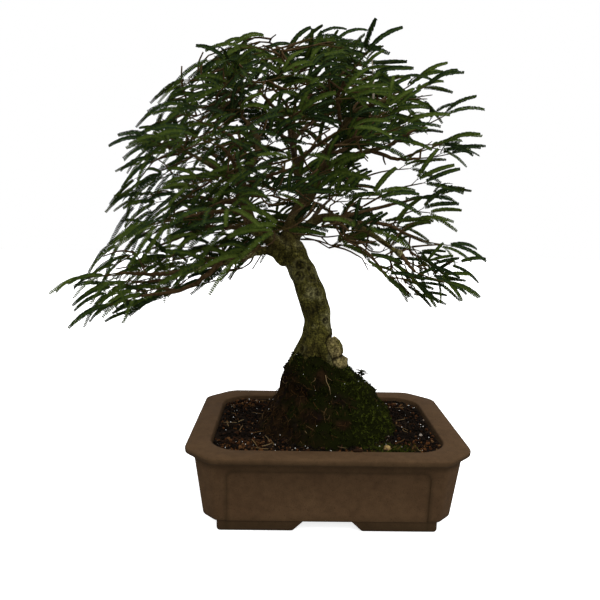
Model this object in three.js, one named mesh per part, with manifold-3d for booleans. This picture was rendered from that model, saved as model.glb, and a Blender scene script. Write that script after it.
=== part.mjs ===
// A pink powder puff bonsai, out of flower, in a shallow stoneware pot with cut corners.
// Millimetres, +Z up. The model is drawn from the middle of the pot on the ground,
// and the last group moves it so that the origin lies under the middle of the whole object.
import * as THREE from "three";
import { mergeVertices } from "three/addons/utils/BufferGeometryUtils.js";
import Module from "manifold-3d";

const wasm = await Module();
wasm.setup();

// Pot: sizes are across the whole pot, X by Y.
const POT_HEIGHT = 87.5;
const RIM = { width: 300, depth: 235, cut: 30, thick: 9.5 };
const OPENING = { width: 250, depth: 185, cut: 20 };
const BODY_TOP = { width: 278, depth: 212, cut: 18 };
const BODY_FOOT = { width: 263, depth: 197, cut: 15 };
const INSIDE_FLOOR = { width: 236, depth: 171, cut: 14 };
const FOOT_HEIGHT = 10.7;
const FOOT = { width: 231, depth: 192.5, cut: 4 };
const FOOT_BAND = 15;
const FOOT_GAP_TOP = 49;
const FOOT_GAP_GROUND = 75;
const FLOOR_TOP = 20;
const COVE_HEIGHT = 5;
const BOTTOM_ROUND = 4.5;
const RIM_ROUND = 2.5;
const FLOOR_ROUND = 4;
const PANEL = { inset: 33, below: 9, above: 2, corner: 8, deep: 1.2 };
const DRAIN_X = 60;
const DRAIN_RADIUS = 12.5;
const DRAIN_MESH = { side: 36, thick: 1.2, holes: 3, hole: 7 };

// Filling.
const GAP = 0.3;
const SOIL_LEVEL = 79;
const GRANULE = { relief: 3.6, shift: 5, bands: 9 };
const MOUND_SINK = 5;

// Leaves of the species, at true size.
const PINNA = { length: 50, halfWidth: 5, leaflets: 4, rib: 1.5 };
const PINNA_LINE = { bare: 0.1, arch: 0.1, droop: 0.24, slant: 0.045, ribStart: 0.62, ribTaper: 0.3 };
const PETIOLE = { length: 9, radius: 0.75, neck: 2 };
const SHOOT = { length: 30, radius: 0.9, leafFrom: 0.4, leafTo: 0.62 };
const CROWN_MIDDLE = new THREE.Vector3(-35, 0, 325);

const UP = new THREE.Vector3(0, 0, 1);
const at = (x, y, z) => new THREE.Vector3(x, y, z);

// The same seed always gives the same draws between 0 and 1.
function seededDraws(seed) {
  let state = seed >>> 0;
  return () => {
    state = (Math.imul(state, 1664525) + 1013904223) >>> 0;
    return state / 4294967296;
  };
}

function toSolid(geometry) {
  const bare = new THREE.BufferGeometry();
  bare.setAttribute("position", geometry.getAttribute("position"));
  bare.setIndex(geometry.index);
  const merged = mergeVertices(bare, 1e-3);
  return new wasm.Manifold(
    new wasm.Mesh({
      numProp: 3,
      vertProperties: merged.attributes.position.array,
      triVerts: new Uint32Array(merged.index.array),
    }),
  );
}

function toMesh(name, solid, material) {
  const { vertProperties, triVerts } = solid.getMesh();
  const geometry = new THREE.BufferGeometry();
  geometry.setAttribute("position", new THREE.BufferAttribute(new Float32Array(vertProperties), 3));
  geometry.setIndex(new THREE.BufferAttribute(new Uint32Array(triVerts), 1));
  geometry.computeVertexNormals();
  const mesh = new THREE.Mesh(geometry, material);
  mesh.name = name;
  return mesh;
}

const joined = (solids) => solids.reduce((whole, piece) => whole.add(piece));

// A closed solid through rings of points that each turn anticlockwise round the way they are stacked.
function loft(rings) {
  const count = rings[0].length;
  const faces = [];
  for (let r = 0; r + 1 < rings.length; r++)
    for (let i = 0; i < count; i++) {
      const a = r * count + i;
      const b = r * count + ((i + 1) % count);
      faces.push(a, b, b + count, a, b + count, a + count);
    }
  const last = (rings.length - 1) * count;
  for (let i = 1; i + 1 < count; i++) faces.push(0, i + 1, i, last, last + i, last + i + 1);
  const geometry = new THREE.BufferGeometry().setFromPoints(rings.flat());
  geometry.setIndex(faces);
  return toSolid(geometry);
}

// A tapered tube along a smooth curve through the points.
function tube(points, radiusAt, sides, steps) {
  const curve = new THREE.CatmullRomCurve3(points, false, "centripetal");
  const rings = [];
  let normal = null;
  for (let i = 0; i <= steps; i++) {
    const t = i / steps;
    const tangent = curve.getTangent(t);
    if (!normal) normal = Math.abs(tangent.z) < 0.9 ? UP.clone() : at(1, 0, 0);
    normal.addScaledVector(tangent, -normal.dot(tangent)).normalize();
    const across = new THREE.Vector3().crossVectors(tangent, normal);
    const middle = curve.getPoint(t);
    const ring = [];
    for (let s = 0; s < sides; s++) {
      const turn = (2 * Math.PI * s) / sides;
      ring.push(
        middle
          .clone()
          .addScaledVector(normal, radiusAt(t) * Math.cos(turn))
          .addScaledVector(across, radiusAt(t) * Math.sin(turn)),
      );
    }
    rings.push(ring);
  }
  return loft(rings);
}

// The pot's plan at one height: a rectangle whose corners are cut and slightly rounded.
function planRing({ width, depth, cut }, z, grow = 0) {
  const x = width / 2 + grow;
  const y = depth / 2 + grow;
  const round = cut / 6;
  const quarter = [
    [x, y - cut - round],
    [x - round / 2, y - cut + round / 2],
    [x - cut + round / 2, y - round / 2],
    [x - cut - round, y],
  ];
  const mirrored = [...quarter].reverse();
  return [
    ...quarter,
    ...mirrored.map(([px, py]) => [-px, py]),
    ...quarter.map(([px, py]) => [-px, -py]),
    ...mirrored.map(([px, py]) => [px, -py]),
  ].map(([px, py]) => at(px, py, z));
}

const between = (low, high, t) => ({
  width: low.width + (high.width - low.width) * t,
  depth: low.depth + (high.depth - low.depth) * t,
  cut: low.cut + (high.cut - low.cut) * t,
});
const insideAt = (z) => between(INSIDE_FLOOR, OPENING, (z - FLOOR_TOP) / (POT_HEIGHT - FLOOR_TOP));

function prism(outline, depth) {
  return new THREE.ExtrudeGeometry(new THREE.Shape(outline), { depth, bevelEnabled: false });
}

// A recessed panel's cutter: it leans with the wall, open below and round at its upper corners.
function panelCutter(reach, half, turn) {
  const underRim = POT_HEIGHT - RIM.thick - COVE_HEIGHT;
  const wallRun = (BODY_TOP.width - BODY_FOOT.width) / 2;
  const wallRise = underRim - FOOT_HEIGHT;
  const top = underRim - PANEL.below + COVE_HEIGHT - FOOT_HEIGHT;
  const outline = [new THREE.Vector2(-half, PANEL.above), new THREE.Vector2(half, PANEL.above)];
  for (const side of [1, -1])
    for (const step of side > 0 ? [0, 1, 2, 3] : [3, 2, 1, 0]) {
      const angle = (step * Math.PI) / 6;
      outline.push(
        new THREE.Vector2(
          side * (half - PANEL.corner + PANEL.corner * Math.cos(angle)),
          top - PANEL.corner + PANEL.corner * Math.sin(angle),
        ),
      );
    }
  const geometry = prism(outline, 12);
  geometry.rotateX(Math.PI / 2);
  geometry.translate(0, -reach + PANEL.deep, FOOT_HEIGHT);
  const lean = new THREE.Matrix4().makeShear(0, 0, 0, 0, 0, -wallRun / wallRise);
  geometry.translate(0, 0, -FOOT_HEIGHT).applyMatrix4(lean).translate(0, 0, FOOT_HEIGHT);
  geometry.rotateZ(turn);
  return toSolid(geometry);
}

function buildPot() {
  const underRim = POT_HEIGHT - RIM.thick;
  const shell = loft([
    planRing(BODY_FOOT, FOOT_HEIGHT, -BOTTOM_ROUND),
    planRing(BODY_FOOT, FOOT_HEIGHT + 0.3 * BOTTOM_ROUND, -0.3 * BOTTOM_ROUND),
    planRing(BODY_FOOT, FOOT_HEIGHT + BOTTOM_ROUND),
    planRing(BODY_TOP, underRim - COVE_HEIGHT),
    planRing(BODY_TOP, underRim - 0.3 * COVE_HEIGHT, 0.6 * COVE_HEIGHT),
    planRing(RIM, underRim, -RIM_ROUND),
    planRing(RIM, underRim + 0.8 * RIM_ROUND),
    planRing(RIM, POT_HEIGHT - 0.8 * RIM_ROUND),
    planRing(RIM, POT_HEIGHT, -RIM_ROUND),
    planRing(OPENING, POT_HEIGHT, 0.8 * RIM_ROUND),
    planRing(OPENING, POT_HEIGHT - 0.8 * RIM_ROUND),
    planRing(INSIDE_FLOOR, FLOOR_TOP + FLOOR_ROUND),
    planRing(INSIDE_FLOOR, FLOOR_TOP, -FLOOR_ROUND),
  ]);
  const frontHalf = BODY_FOOT.width / 2 - PANEL.inset + 6;
  const sideHalf = BODY_FOOT.depth / 2 - PANEL.inset + 6;
  const cutters = [
    panelCutter(BODY_FOOT.depth / 2, frontHalf, 0),
    panelCutter(BODY_FOOT.depth / 2, frontHalf, Math.PI),
    panelCutter(BODY_FOOT.width / 2, sideHalf, Math.PI / 2),
    panelCutter(BODY_FOOT.width / 2, sideHalf, -Math.PI / 2),
  ];
  let pot = shell;
  for (const cutter of cutters) pot = pot.subtract(cutter);
  for (const side of [-1, 1]) {
    const drain = new THREE.CylinderGeometry(DRAIN_RADIUS, DRAIN_RADIUS, FLOOR_TOP + 4, 16);
    drain.rotateX(Math.PI / 2).translate(side * DRAIN_X, 0, FLOOR_TOP - 4);
    pot = pot.subtract(toSolid(drain));
  }
  return pot;
}

// One foot, round the corner that lies to the given sides. The real one is part of the pot: here it lies flat
// against the bottom as a mesh of its own, which keeps the ways under the pot open.
function buildFoot(sideX, sideY) {
  const outer = loft([
    planRing(FOOT, 0, -RIM_ROUND),
    planRing(FOOT, RIM_ROUND),
    planRing(FOOT, FOOT_HEIGHT),
  ]);
  const inner = loft([planRing(FOOT, -1, -FOOT_BAND), planRing(FOOT, FOOT_HEIGHT + 1, -FOOT_BAND)]);
  const gap = [
    [-FOOT_GAP_GROUND / 2 - 1, -1],
    [FOOT_GAP_GROUND / 2 + 1, -1],
    [FOOT_GAP_TOP / 2, FOOT_HEIGHT],
    [FOOT_GAP_TOP / 2, FOOT_HEIGHT + 1],
    [-FOOT_GAP_TOP / 2, FOOT_HEIGHT + 1],
    [-FOOT_GAP_TOP / 2, FOOT_HEIGHT],
  ].map(([x, y]) => new THREE.Vector2(x, y));
  const alongY = prism(gap, RIM.depth)
    .rotateX(Math.PI / 2)
    .translate(0, RIM.depth / 2, 0);
  const alongX = prism(gap, RIM.width)
    .rotateX(Math.PI / 2)
    .translate(0, RIM.width / 2, 0)
    .rotateZ(Math.PI / 2);
  const quarter = new THREE.BoxGeometry(FOOT.width, FOOT.depth, 3 * FOOT_HEIGHT);
  quarter.translate((sideX * FOOT.width) / 2, (sideY * FOOT.depth) / 2, 0);
  const ring = outer.subtract(inner).subtract(toSolid(alongY)).subtract(toSolid(alongX));
  return ring.intersect(toSolid(quarter));
}

function drainMesh(side) {
  const { side: across, thick, holes, hole } = DRAIN_MESH;
  let plate = toSolid(new THREE.BoxGeometry(across, across, thick));
  const pitch = across / (holes + 0.4);
  for (let row = 0; row < holes; row++)
    for (let column = 0; column < holes; column++) {
      const square = new THREE.BoxGeometry(hole, hole, 2 * thick);
      const middle = (holes - 1) / 2;
      square.translate((row - middle) * pitch, (column - middle) * pitch, 0);
      plate = plate.subtract(toSolid(square));
    }
  return plate.translate(side * DRAIN_X, 0, FLOOR_TOP + GAP + thick / 2);
}

// The mound's outline at each height: middle X, half width in X and Y, and how lumpy it is.
const MOUND_PROFILE = [
  { z: SOIL_LEVEL - MOUND_SINK, x: 2, wide: 80, deep: 80, lump: 0 },
  { z: SOIL_LEVEL + 2, x: 2, wide: 80, deep: 80, lump: 0 },
  { z: 92, x: 3, wide: 74, deep: 72, lump: 4 },
  { z: 104, x: 3, wide: 68, deep: 64, lump: 5 },
  { z: 116, x: 3, wide: 60, deep: 55, lump: 5 },
  { z: 128, x: 2, wide: 52, deep: 46, lump: 4 },
  { z: 140, x: -5, wide: 43, deep: 38, lump: 3 },
  { z: 151, x: -11, wide: 33, deep: 31, lump: 2 },
  { z: 157, x: -13, wide: 24, deep: 24, lump: 1 },
];
const MOUND_SIDES = 18;

function moundRing({ z, x, wide, deep, lump }, draws, grow = 0) {
  const ring = [];
  for (let i = 0; i < MOUND_SIDES; i++) {
    const turn = (2 * Math.PI * i) / MOUND_SIDES;
    const bulge = grow + lump * (draws() - 0.5) * 2;
    ring.push(at(x + (wide + bulge) * Math.cos(turn), (deep + bulge) * Math.sin(turn), z));
  }
  return ring;
}

function buildMound(wood) {
  const draws = seededDraws(71);
  const heap = loft(MOUND_PROFILE.map((level) => moundRing(level, draws)));
  return heap.subtract(wood).subtract(weedHole());
}

function buildSoil(wood) {
  const draws = seededDraws(23);
  const rings = [planRing(insideAt(FLOOR_TOP), FLOOR_TOP + GAP, -GAP - FLOOR_ROUND)];
  rings.push(planRing(insideAt(FLOOR_TOP), FLOOR_TOP + FLOOR_ROUND, -GAP - 0.1));
  const edge = insideAt(SOIL_LEVEL - 2);
  rings.push(planRing(edge, SOIL_LEVEL - 2, -GAP - 0.1));
  for (let band = 0; band < GRANULE.bands; band++) {
    const share = 1 - band / GRANULE.bands;
    const plan = { width: edge.width * share, depth: edge.depth * share, cut: edge.cut * share };
    const ring = planRing(plan, SOIL_LEVEL, band === 0 ? -2.5 : 0);
    for (const point of ring) {
      point.z += GRANULE.relief * (draws() - 0.5);
      point.x += band > 0 ? GRANULE.shift * (draws() - 0.5) : 0;
      point.y += band > 0 ? GRANULE.shift * (draws() - 0.5) : 0;
    }
    rings.push(ring);
  }
  let soil = loft(rings);
  const still = () => 0.5;
  const bed = { ...MOUND_PROFILE[0], z: SOIL_LEVEL - MOUND_SINK - GAP };
  const over = { ...bed, z: SOIL_LEVEL + 40 };
  soil = soil.subtract(loft([bed, over].map((level) => moundRing(level, still, GAP + 0.1))));
  for (const side of [-1, 1]) {
    const across = DRAIN_MESH.side + 1;
    const pocket = new THREE.BoxGeometry(across, across, 2 * (DRAIN_MESH.thick + 2 * GAP));
    soil = soil.subtract(toSolid(pocket.translate(side * DRAIN_X, 0, FLOOR_TOP)));
  }
  return soil.subtract(wood);
}

// Trunk: height, middle X, middle Y and radius, read up the silhouette.
const TRUNK = [
  { z: 45, x: -12, y: 0, radius: 16 },
  { z: 120, x: -13, y: 0, radius: 22 },
  { z: 150, x: -15, y: 0, radius: 25 },
  { z: 161, x: -16, y: 0, radius: 22.5 },
  { z: 172, x: -16, y: 0, radius: 19.5 },
  { z: 184, x: -12, y: 0, radius: 18 },
  { z: 196, x: -11, y: 0, radius: 16.6 },
  { z: 208, x: -11, y: 0, radius: 15.4 },
  { z: 220, x: -13, y: 0, radius: 16.2 },
  { z: 236, x: -18, y: 0, radius: 15.6 },
  { z: 252, x: -24, y: 1, radius: 14.8 },
  { z: 266, x: -31, y: 3, radius: 15 },
  { z: 279, x: -38, y: 4, radius: 15.4 },
  { z: 292, x: -45, y: 5, radius: 13.6 },
  { z: 302, x: -50, y: 6, radius: 9 },
];
const TRUNK_SIDES = 11;

// Surface roots that run from the flare down into the mound, each a hand-laid line.
const ROOTS = [
  [at(-6, -13, 180), at(2, -19, 166), at(12, -22, 153), at(21, -26, 138)],
  [at(-24, -6, 174), at(-35, -9, 160), at(-42, -13, 148), at(-48, -16, 134)],
  [at(-20, -12, 172), at(-24, -22, 158), at(-28, -30, 144), at(-30, -36, 132)],
  [at(-22, 11, 174), at(-28, 21, 160), at(-33, 29, 147), at(-37, 35, 134)],
  [at(-4, 12, 176), at(3, 21, 161), at(10, 28, 148), at(16, 34, 135)],
];

// Pruning scars: a raised callus ring with a sunk middle, facing out from the trunk.
const SCARS = [
  { z: 271, turn: 250, radius: 6 },
  { z: 258, turn: 236, radius: 6.5 },
  { z: 257, turn: 300, radius: 5.5 },
  { z: 241, turn: 322, radius: 5 },
  { z: 192, turn: 350, radius: 5 },
  { z: 176, turn: 222, radius: 5.5 },
  { z: 232, turn: 60, radius: 5.5 },
];
const SCAR_OUTLINE = [
  [0, -5],
  [1, -2],
  [1.05, 0.9],
  [0.6, 1.6],
  [0, 0],
];

function trunkMiddle(z) {
  const above = TRUNK.findIndex((level) => level.z >= z);
  const low = TRUNK[above - 1];
  const high = TRUNK[above];
  const t = (z - low.z) / (high.z - low.z);
  return {
    middle: at(low.x + (high.x - low.x) * t, low.y + (high.y - low.y) * t, z),
    radius: low.radius + (high.radius - low.radius) * t,
  };
}

function scar({ z, turn, radius }) {
  const { middle, radius: reach } = trunkMiddle(z);
  const angle = THREE.MathUtils.degToRad(turn);
  const outward = at(Math.cos(angle), Math.sin(angle), 0);
  const profile = SCAR_OUTLINE.map(([r, h]) => new THREE.Vector2(r * radius, h));
  const ring = new THREE.LatheGeometry(profile, 5);
  ring.applyQuaternion(new THREE.Quaternion().setFromUnitVectors(at(0, 1, 0), outward));
  const seat = middle.addScaledVector(outward, reach * 0.96);
  return toSolid(ring.translate(seat.x, seat.y, seat.z));
}

// The part of the wood that stands in the mound and the soil; grow makes the plain hole for it.
function footOfTrunk(grow) {
  const rings = TRUNK.map(({ z, x, y, radius }, level) => {
    const ring = [];
    for (let s = 0; s < TRUNK_SIDES; s++) {
      const turn = (2 * Math.PI * s) / TRUNK_SIDES;
      const reach = (radius + grow) / Math.cos(Math.PI / TRUNK_SIDES / 2);
      ring.push(at(x + reach * Math.cos(turn), y + reach * Math.sin(turn), level === 0 ? z - grow : z));
    }
    return ring;
  });
  const roots = ROOTS.map((points) => {
    const ends = [...points];
    if (grow) ends.push(points[3].clone().add(points[3].clone().sub(points[2]).setLength(2 * grow)));
    return tube(ends, (t) => 6.5 - 2.5 * t + grow * 1.6, 5, 3);
  });
  return joined([loft(rings), ...roots]);
}

// Two pale lobes of the burl, swollen out of the right side of the base.
function burl(grow) {
  return [
    { middle: at(10.5, -11, 175), size: at(9, 9, 12.5) },
    { middle: at(13.5, -12, 159), size: at(9.5, 9, 8) },
  ].map(({ middle, size }) => {
    const lobe = new THREE.IcosahedronGeometry(1, 1);
    const whole = size.addScalar(2 * grow);
    return toSolid(lobe.scale(...whole).translate(...middle));
  });
}

// Limbs: a hand-laid line from the parent's middle to the tip, the radius at both ends, and the
// places along the line, as shares of it, that carry a spur with a spray of its own. A limb that
// forks ends inside the limbs that go on from it, and the others end in a spray.
const LIMBS = [
  {
    line: [[-47, 6, 290], [-41, 10, 318], [-21, 15, 353], [-7, 18, 391], [4, 15, 408]],
    thick: [10, 5],
    forks: true,
  },
  {
    line: [[-46, 5, 288], [-69, -4, 302], [-86, -15, 314], [-95, -28, 350], [-98, -32, 366]],
    thick: [9, 5],
    forks: true,
  },
  {
    line: [[-97, -31, 362], [-80, -10, 400], [-96, 14, 430], [-114, 20, 442]],
    thick: [5, 1.5],
    spurs: [0.55],
  },
  { line: [[-96, -30, 360], [-124, -54, 374], [-150, -66, 388]], thick: [4.5, 1.4], spurs: [0.6] },
  { line: [[-86, -24, 380], [-104, -64, 402], [-118, -80, 410]], thick: [3, 1.3] },
  { line: [[-93, -24, 338], [-139, 8, 342], [-184, 24, 348]], thick: [3.4, 1.3] },
  { line: [[-91, -20, 328], [-122, -62, 328], [-150, -82, 322]], thick: [3, 1.3] },
  { line: [[-77, -9, 308], [-138, 32, 310], [-212, 60, 282]], thick: [3.4, 1.3], spurs: [0.55] },
  { line: [[-96, -28, 351], [-124, 46, 386], [-148, 80, 404]], thick: [3.2, 1.3], spurs: [0.55] },
  { line: [[-48, 3, 272], [-68, -8, 286], [-99, -30, 280], [-155, -46, 265]], thick: [6.5, 3], forks: true },
  { line: [[-155, -46, 265], [-190, -50, 262], [-222, -50, 263]], thick: [3, 1.3], spurs: [0.5] },
  { line: [[-116, -38, 275], [-150, -64, 250], [-194, -74, 242]], thick: [3.2, 1.3], spurs: [0.6] },
  { line: [[-155, -46, 265], [-182, -20, 253], [-220, 8, 246]], thick: [2.4, 1.3] },
  { line: [[-99, -30, 280], [-148, 44, 284], [-200, 84, 270]], thick: [3, 1.3], spurs: [0.6] },
  { line: [[-42, 4, 300], [-8, -11, 324], [23, -26, 319], [74, -50, 287]], thick: [6, 2.6], forks: true },
  { line: [[74, -50, 287], [80, -53, 278], [88, -56, 270]], thick: [2.6, 1.3] },
  { line: [[23, -26, 319], [60, -10, 318], [106, 6, 300]], thick: [2.8, 1.3], spurs: [0.55] },
  { line: [[9, -18, 324], [58, 32, 336], [106, 52, 348]], thick: [3, 1.3], spurs: [0.5] },
  { line: [[-8, -11, 324], [6, -70, 318], [12, -102, 313]], thick: [2.8, 1.3] },
  { line: [[-24, -4, 317], [-8, 56, 334], [10, 100, 350]], thick: [2.8, 1.3] },
  { line: [[-12, 18, 376], [8, 4, 388], [58, -30, 400]], thick: [4.6, 2.4], forks: true },
  { line: [[42, -22, 396], [72, -18, 388], [96, -14, 390]], thick: [2.4, 1.3], spurs: [0.5] },
  { line: [[58, -30, 400], [70, -42, 408], [80, -50, 414]], thick: [2.4, 1.3] },
  { line: [[-7, 18, 391], [41, 66, 414], [84, 92, 424]], thick: [3, 1.3], spurs: [0.55] },
  { line: [[4, 15, 406], [21, 2, 436], [44, -14, 446], [66, -24, 450]], thick: [5, 1.4], spurs: [0.7] },
  { line: [[20, 4, 434], [26, 22, 448], [36, 40, 460]], thick: [2.4, 1.3] },
  { line: [[12, 10, 420], [4, -34, 446], [8, -56, 462]], thick: [2.6, 1.3] },
  { line: [[20, 4, 434], [50, 26, 438], [78, 38, 442]], thick: [2.4, 1.3] },
  { line: [[-28, 13, 343], [-40, 12, 388], [-42, 4, 430], [-40, -3, 460]], thick: [5.5, 1.4] },
  { line: [[-43, 7, 416], [-66, -36, 440], [-84, -62, 456]], thick: [2.6, 1.3] },
  { line: [[-41, 2, 438], [-30, 22, 454], [-15, 42, 466]], thick: [2.2, 1.3] },
  { line: [[-42, 4, 430], [-54, 14, 452], [-68, 28, 470]], thick: [2, 1.3] },
  { line: [[-41, 9, 404], [-64, 54, 424], [-86, 86, 436]], thick: [3, 1.3], spurs: [0.55] },
  { line: [[-41, 10, 394], [-45, -64, 404], [-48, -100, 410]], thick: [2.8, 1.3] },
  { line: [[-39, 12, 384], [-22, -66, 394], [-8, -102, 400]], thick: [2.6, 1.3] },
  { line: [[-42, 8, 410], [-18, 64, 438], [8, 100, 456]], thick: [2.8, 1.3] },
  { line: [[-85, -14, 313], [-90, -72, 324], [-95, -106, 330]], thick: [2.8, 1.3] },
  { line: [[-69, -4, 302], [-94, 62, 326], [-114, 100, 344]], thick: [2.8, 1.3], spurs: [0.6] },
  { line: [[-98, -32, 362], [-101, -80, 378], [-108, -112, 388]], thick: [2.6, 1.3] },
  { line: [[3, 15, 402], [22, -54, 405], [36, -94, 404]], thick: [2.6, 1.3] },
  { line: [[-96, -30, 352], [-66, -78, 364], [-48, -110, 368]], thick: [2.6, 1.3] },
].map((limb) => ({ spurs: [], ...limb, line: limb.line.map((p) => at(...p)) }));
const SPUR = { length: 16, thick: [1.6, 1.3] };
const STOUT_LIMB = 4.2;

const radiusAlong = ([start, end]) => (t) => start + (end - start) * t;

// The way leaves lean at a point: out from the middle of the crown, and a little down.
function outwardFrom(point) {
  const outward = point.clone().sub(CROWN_MIDDLE);
  outward.z *= outward.z > 0 ? 0.8 : 0.3;
  return outward.normalize();
}

// A spur leaves its limb sideways, turned towards the outside of the crown.
function spurLine(limb, share, index) {
  const curve = new THREE.CatmullRomCurve3(limb.line, false, "centripetal");
  const start = curve.getPoint(share);
  const along = curve.getTangent(share);
  const side = new THREE.Vector3().crossVectors(along, UP).multiplyScalar(index % 2 ? 1 : -1);
  const heading = along.multiplyScalar(0.5).add(side.multiplyScalar(0.7)).addScaledVector(UP, 0.25);
  heading.addScaledVector(outwardFrom(start), 0.3).normalize();
  return [start, start.clone().addScaledVector(heading, SPUR.length)];
}

function buildWood() {
  const pieces = [footOfTrunk(0), ...burl(0), ...SCARS.map(scar)];
  const tips = [];
  LIMBS.forEach((limb, index) => {
    const stout = limb.thick[0] > STOUT_LIMB;
    const steps = limb.line.length - (stout ? 0 : 1);
    pieces.push(tube(limb.line, radiusAlong(limb.thick), stout ? 5 : 3, steps));
    if (!limb.forks) tips.push({ point: limb.line.at(-1), along: endTangent(limb.line) });
    for (const share of limb.spurs) {
      const line = spurLine(limb, share, index);
      pieces.push(tube(line, radiusAlong(SPUR.thick), 3, 1));
      tips.push({ point: line[1], along: line[1].clone().sub(line[0]).normalize() });
    }
  });
  return { wood: joined(pieces), tips };
}

function endTangent(line) {
  return new THREE.CatmullRomCurve3(line, false, "centripetal").getTangent(1);
}

// Foliage is drawn as one growing skin of three-sided stalks. A ring is left, right and top.
function addRing(skin, middle, frame, radius) {
  const first = skin.points.length;
  skin.points.push(middle.clone().addScaledVector(frame.side, -radius));
  skin.points.push(middle.clone().addScaledVector(frame.side, radius));
  skin.points.push(middle.clone().addScaledVector(frame.lift, radius * 1.5));
  return [first, first + 1, first + 2];
}

function frameOf(heading, lift) {
  const side = new THREE.Vector3().crossVectors(heading, lift).normalize();
  return { heading, side, lift: new THREE.Vector3().crossVectors(side, heading).normalize() };
}

// Faces between two loops that turn the same way, whatever their counts.
function bridge(skin, from, to) {
  const distance = (a, b) => skin.points[a].distanceTo(skin.points[b]);
  let shift = 0;
  to.forEach((point, i) => {
    if (distance(from[0], point) < distance(from[0], to[shift])) shift = i;
  });
  const a = [...from, from[0]];
  const b = [...to.slice(shift), ...to.slice(0, shift), to[shift]];
  let i = 0;
  let j = 0;
  while (i < from.length || j < to.length)
    if ((i + 1) / from.length <= (j + 1) / to.length) {
      skin.faces.push(a[i], b[j], a[i + 1]);
      i += 1;
    } else {
      skin.faces.push(a[i], b[j], b[j + 1]);
      j += 1;
    }
}

// One length of stalk between two rings. The loop of the face that is left open is given back.
function stalkStep(skin, from, to, open) {
  let loop = null;
  ["under", "right", "left"].forEach((name, k) => {
    const [a, d] = [from[k], from[(k + 1) % 3]];
    const [b, c] = [to[k], to[(k + 1) % 3]];
    if (name === open) loop = [d, c, b, a];
    else skin.faces.push(a, b, c, a, c, d);
  });
  return loop;
}

// A pinna: its rib arches down, with a leaflet drawn out of each side at every step.
function growPinna(skin, loop, fork, frame, size) {
  const { heading, side, lift } = frame;
  const length = PINNA.length * size;
  const steps = PINNA.leaflets;
  const along = (t) =>
    fork
      .clone()
      .addScaledVector(heading, length * t)
      .addScaledVector(lift, length * PINNA_LINE.arch * Math.sin(Math.PI * t))
      .addScaledVector(UP, -length * PINNA_LINE.droop * t * t);
  const leafy = 1 - PINNA_LINE.bare;
  let ring = null;
  for (let i = 0; i <= steps; i++) {
    const t = PINNA_LINE.bare + (leafy * i) / steps;
    const next = addRing(skin, along(t), frame, PINNA.rib * (PINNA_LINE.ribStart - PINNA_LINE.ribTaper * t));
    if (!ring) {
      bridge(skin, loop, next);
      ring = next;
      continue;
    }
    skin.faces.push(ring[0], next[0], next[1], ring[0], next[1], ring[1]);
    const share = (i - 0.5) / steps;
    const width = PINNA.halfWidth * size * (0.8 + 0.45 * Math.sin(Math.PI * Math.min(1, share + 0.15)));
    const tipPlace = along(PINNA_LINE.bare + leafy * share + PINNA_LINE.slant);
    for (const hand of [-1, 1]) {
      skin.points.push(tipPlace.clone().addScaledVector(side, hand * width).addScaledVector(lift, 0.4));
      const tip = skin.points.length - 1;
      const [low, high] = hand > 0 ? [1, 2] : [2, 0];
      const edge = [ring[low], next[low], next[high], ring[high]];
      edge.forEach((point, n) => skin.faces.push(point, edge[(n + 1) % 4], tip));
    }
    ring = next;
  }
  skin.faces.push(ring[0], ring[2], ring[1]);
}

// A fork into two pinnae at the end of a stalk whose last ring is given.
function growFork(skin, ring, fork, frame, leaf) {
  const turned = (angle) => {
    const heading = frame.heading.clone().applyAxisAngle(frame.lift, angle);
    return frameOf(heading, frame.lift);
  };
  const left = turned(leaf.spread);
  const right = turned(-leaf.spread);
  const split = addRing(skin, fork.clone().addScaledVector(left.heading, PETIOLE.neck), left, PETIOLE.radius);
  const opening = stalkStep(skin, ring, split, "right");
  growPinna(skin, split, fork, left, leaf.size);
  growPinna(skin, opening, fork, right, leaf.size);
}

// How a spray grows from its twig: the line of the shoot, a side leaf and a leaf at its end.
function shootPlan(tip, index) {
  const draws = seededDraws(500 + 17 * index);
  const outward = outwardFrom(tip.point);
  const length = SHOOT.length * (0.75 + 0.5 * draws());
  const start = tip.point.clone().addScaledVector(tip.along, GAP);
  const bend = start.clone().addScaledVector(tip.along, length * 0.45);
  const end = bend.clone().addScaledVector(outward, length * 0.35).addScaledVector(tip.along, length * 0.25);
  return {
    curve: new THREE.QuadraticBezierCurve3(start, bend, end),
    roll: THREE.MathUtils.degToRad(50 * (draws() - 0.5)),
    hand: index % 2 ? 1 : -1,
    sideTurn: THREE.MathUtils.degToRad(48 + 12 * draws()),
    sideLeaf: { size: 0.88 + 0.18 * draws(), spread: THREE.MathUtils.degToRad(27 + 6 * draws()) },
    endLeaf: { size: 0.92 + 0.18 * draws(), spread: THREE.MathUtils.degToRad(27 + 6 * draws()) },
  };
}

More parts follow.
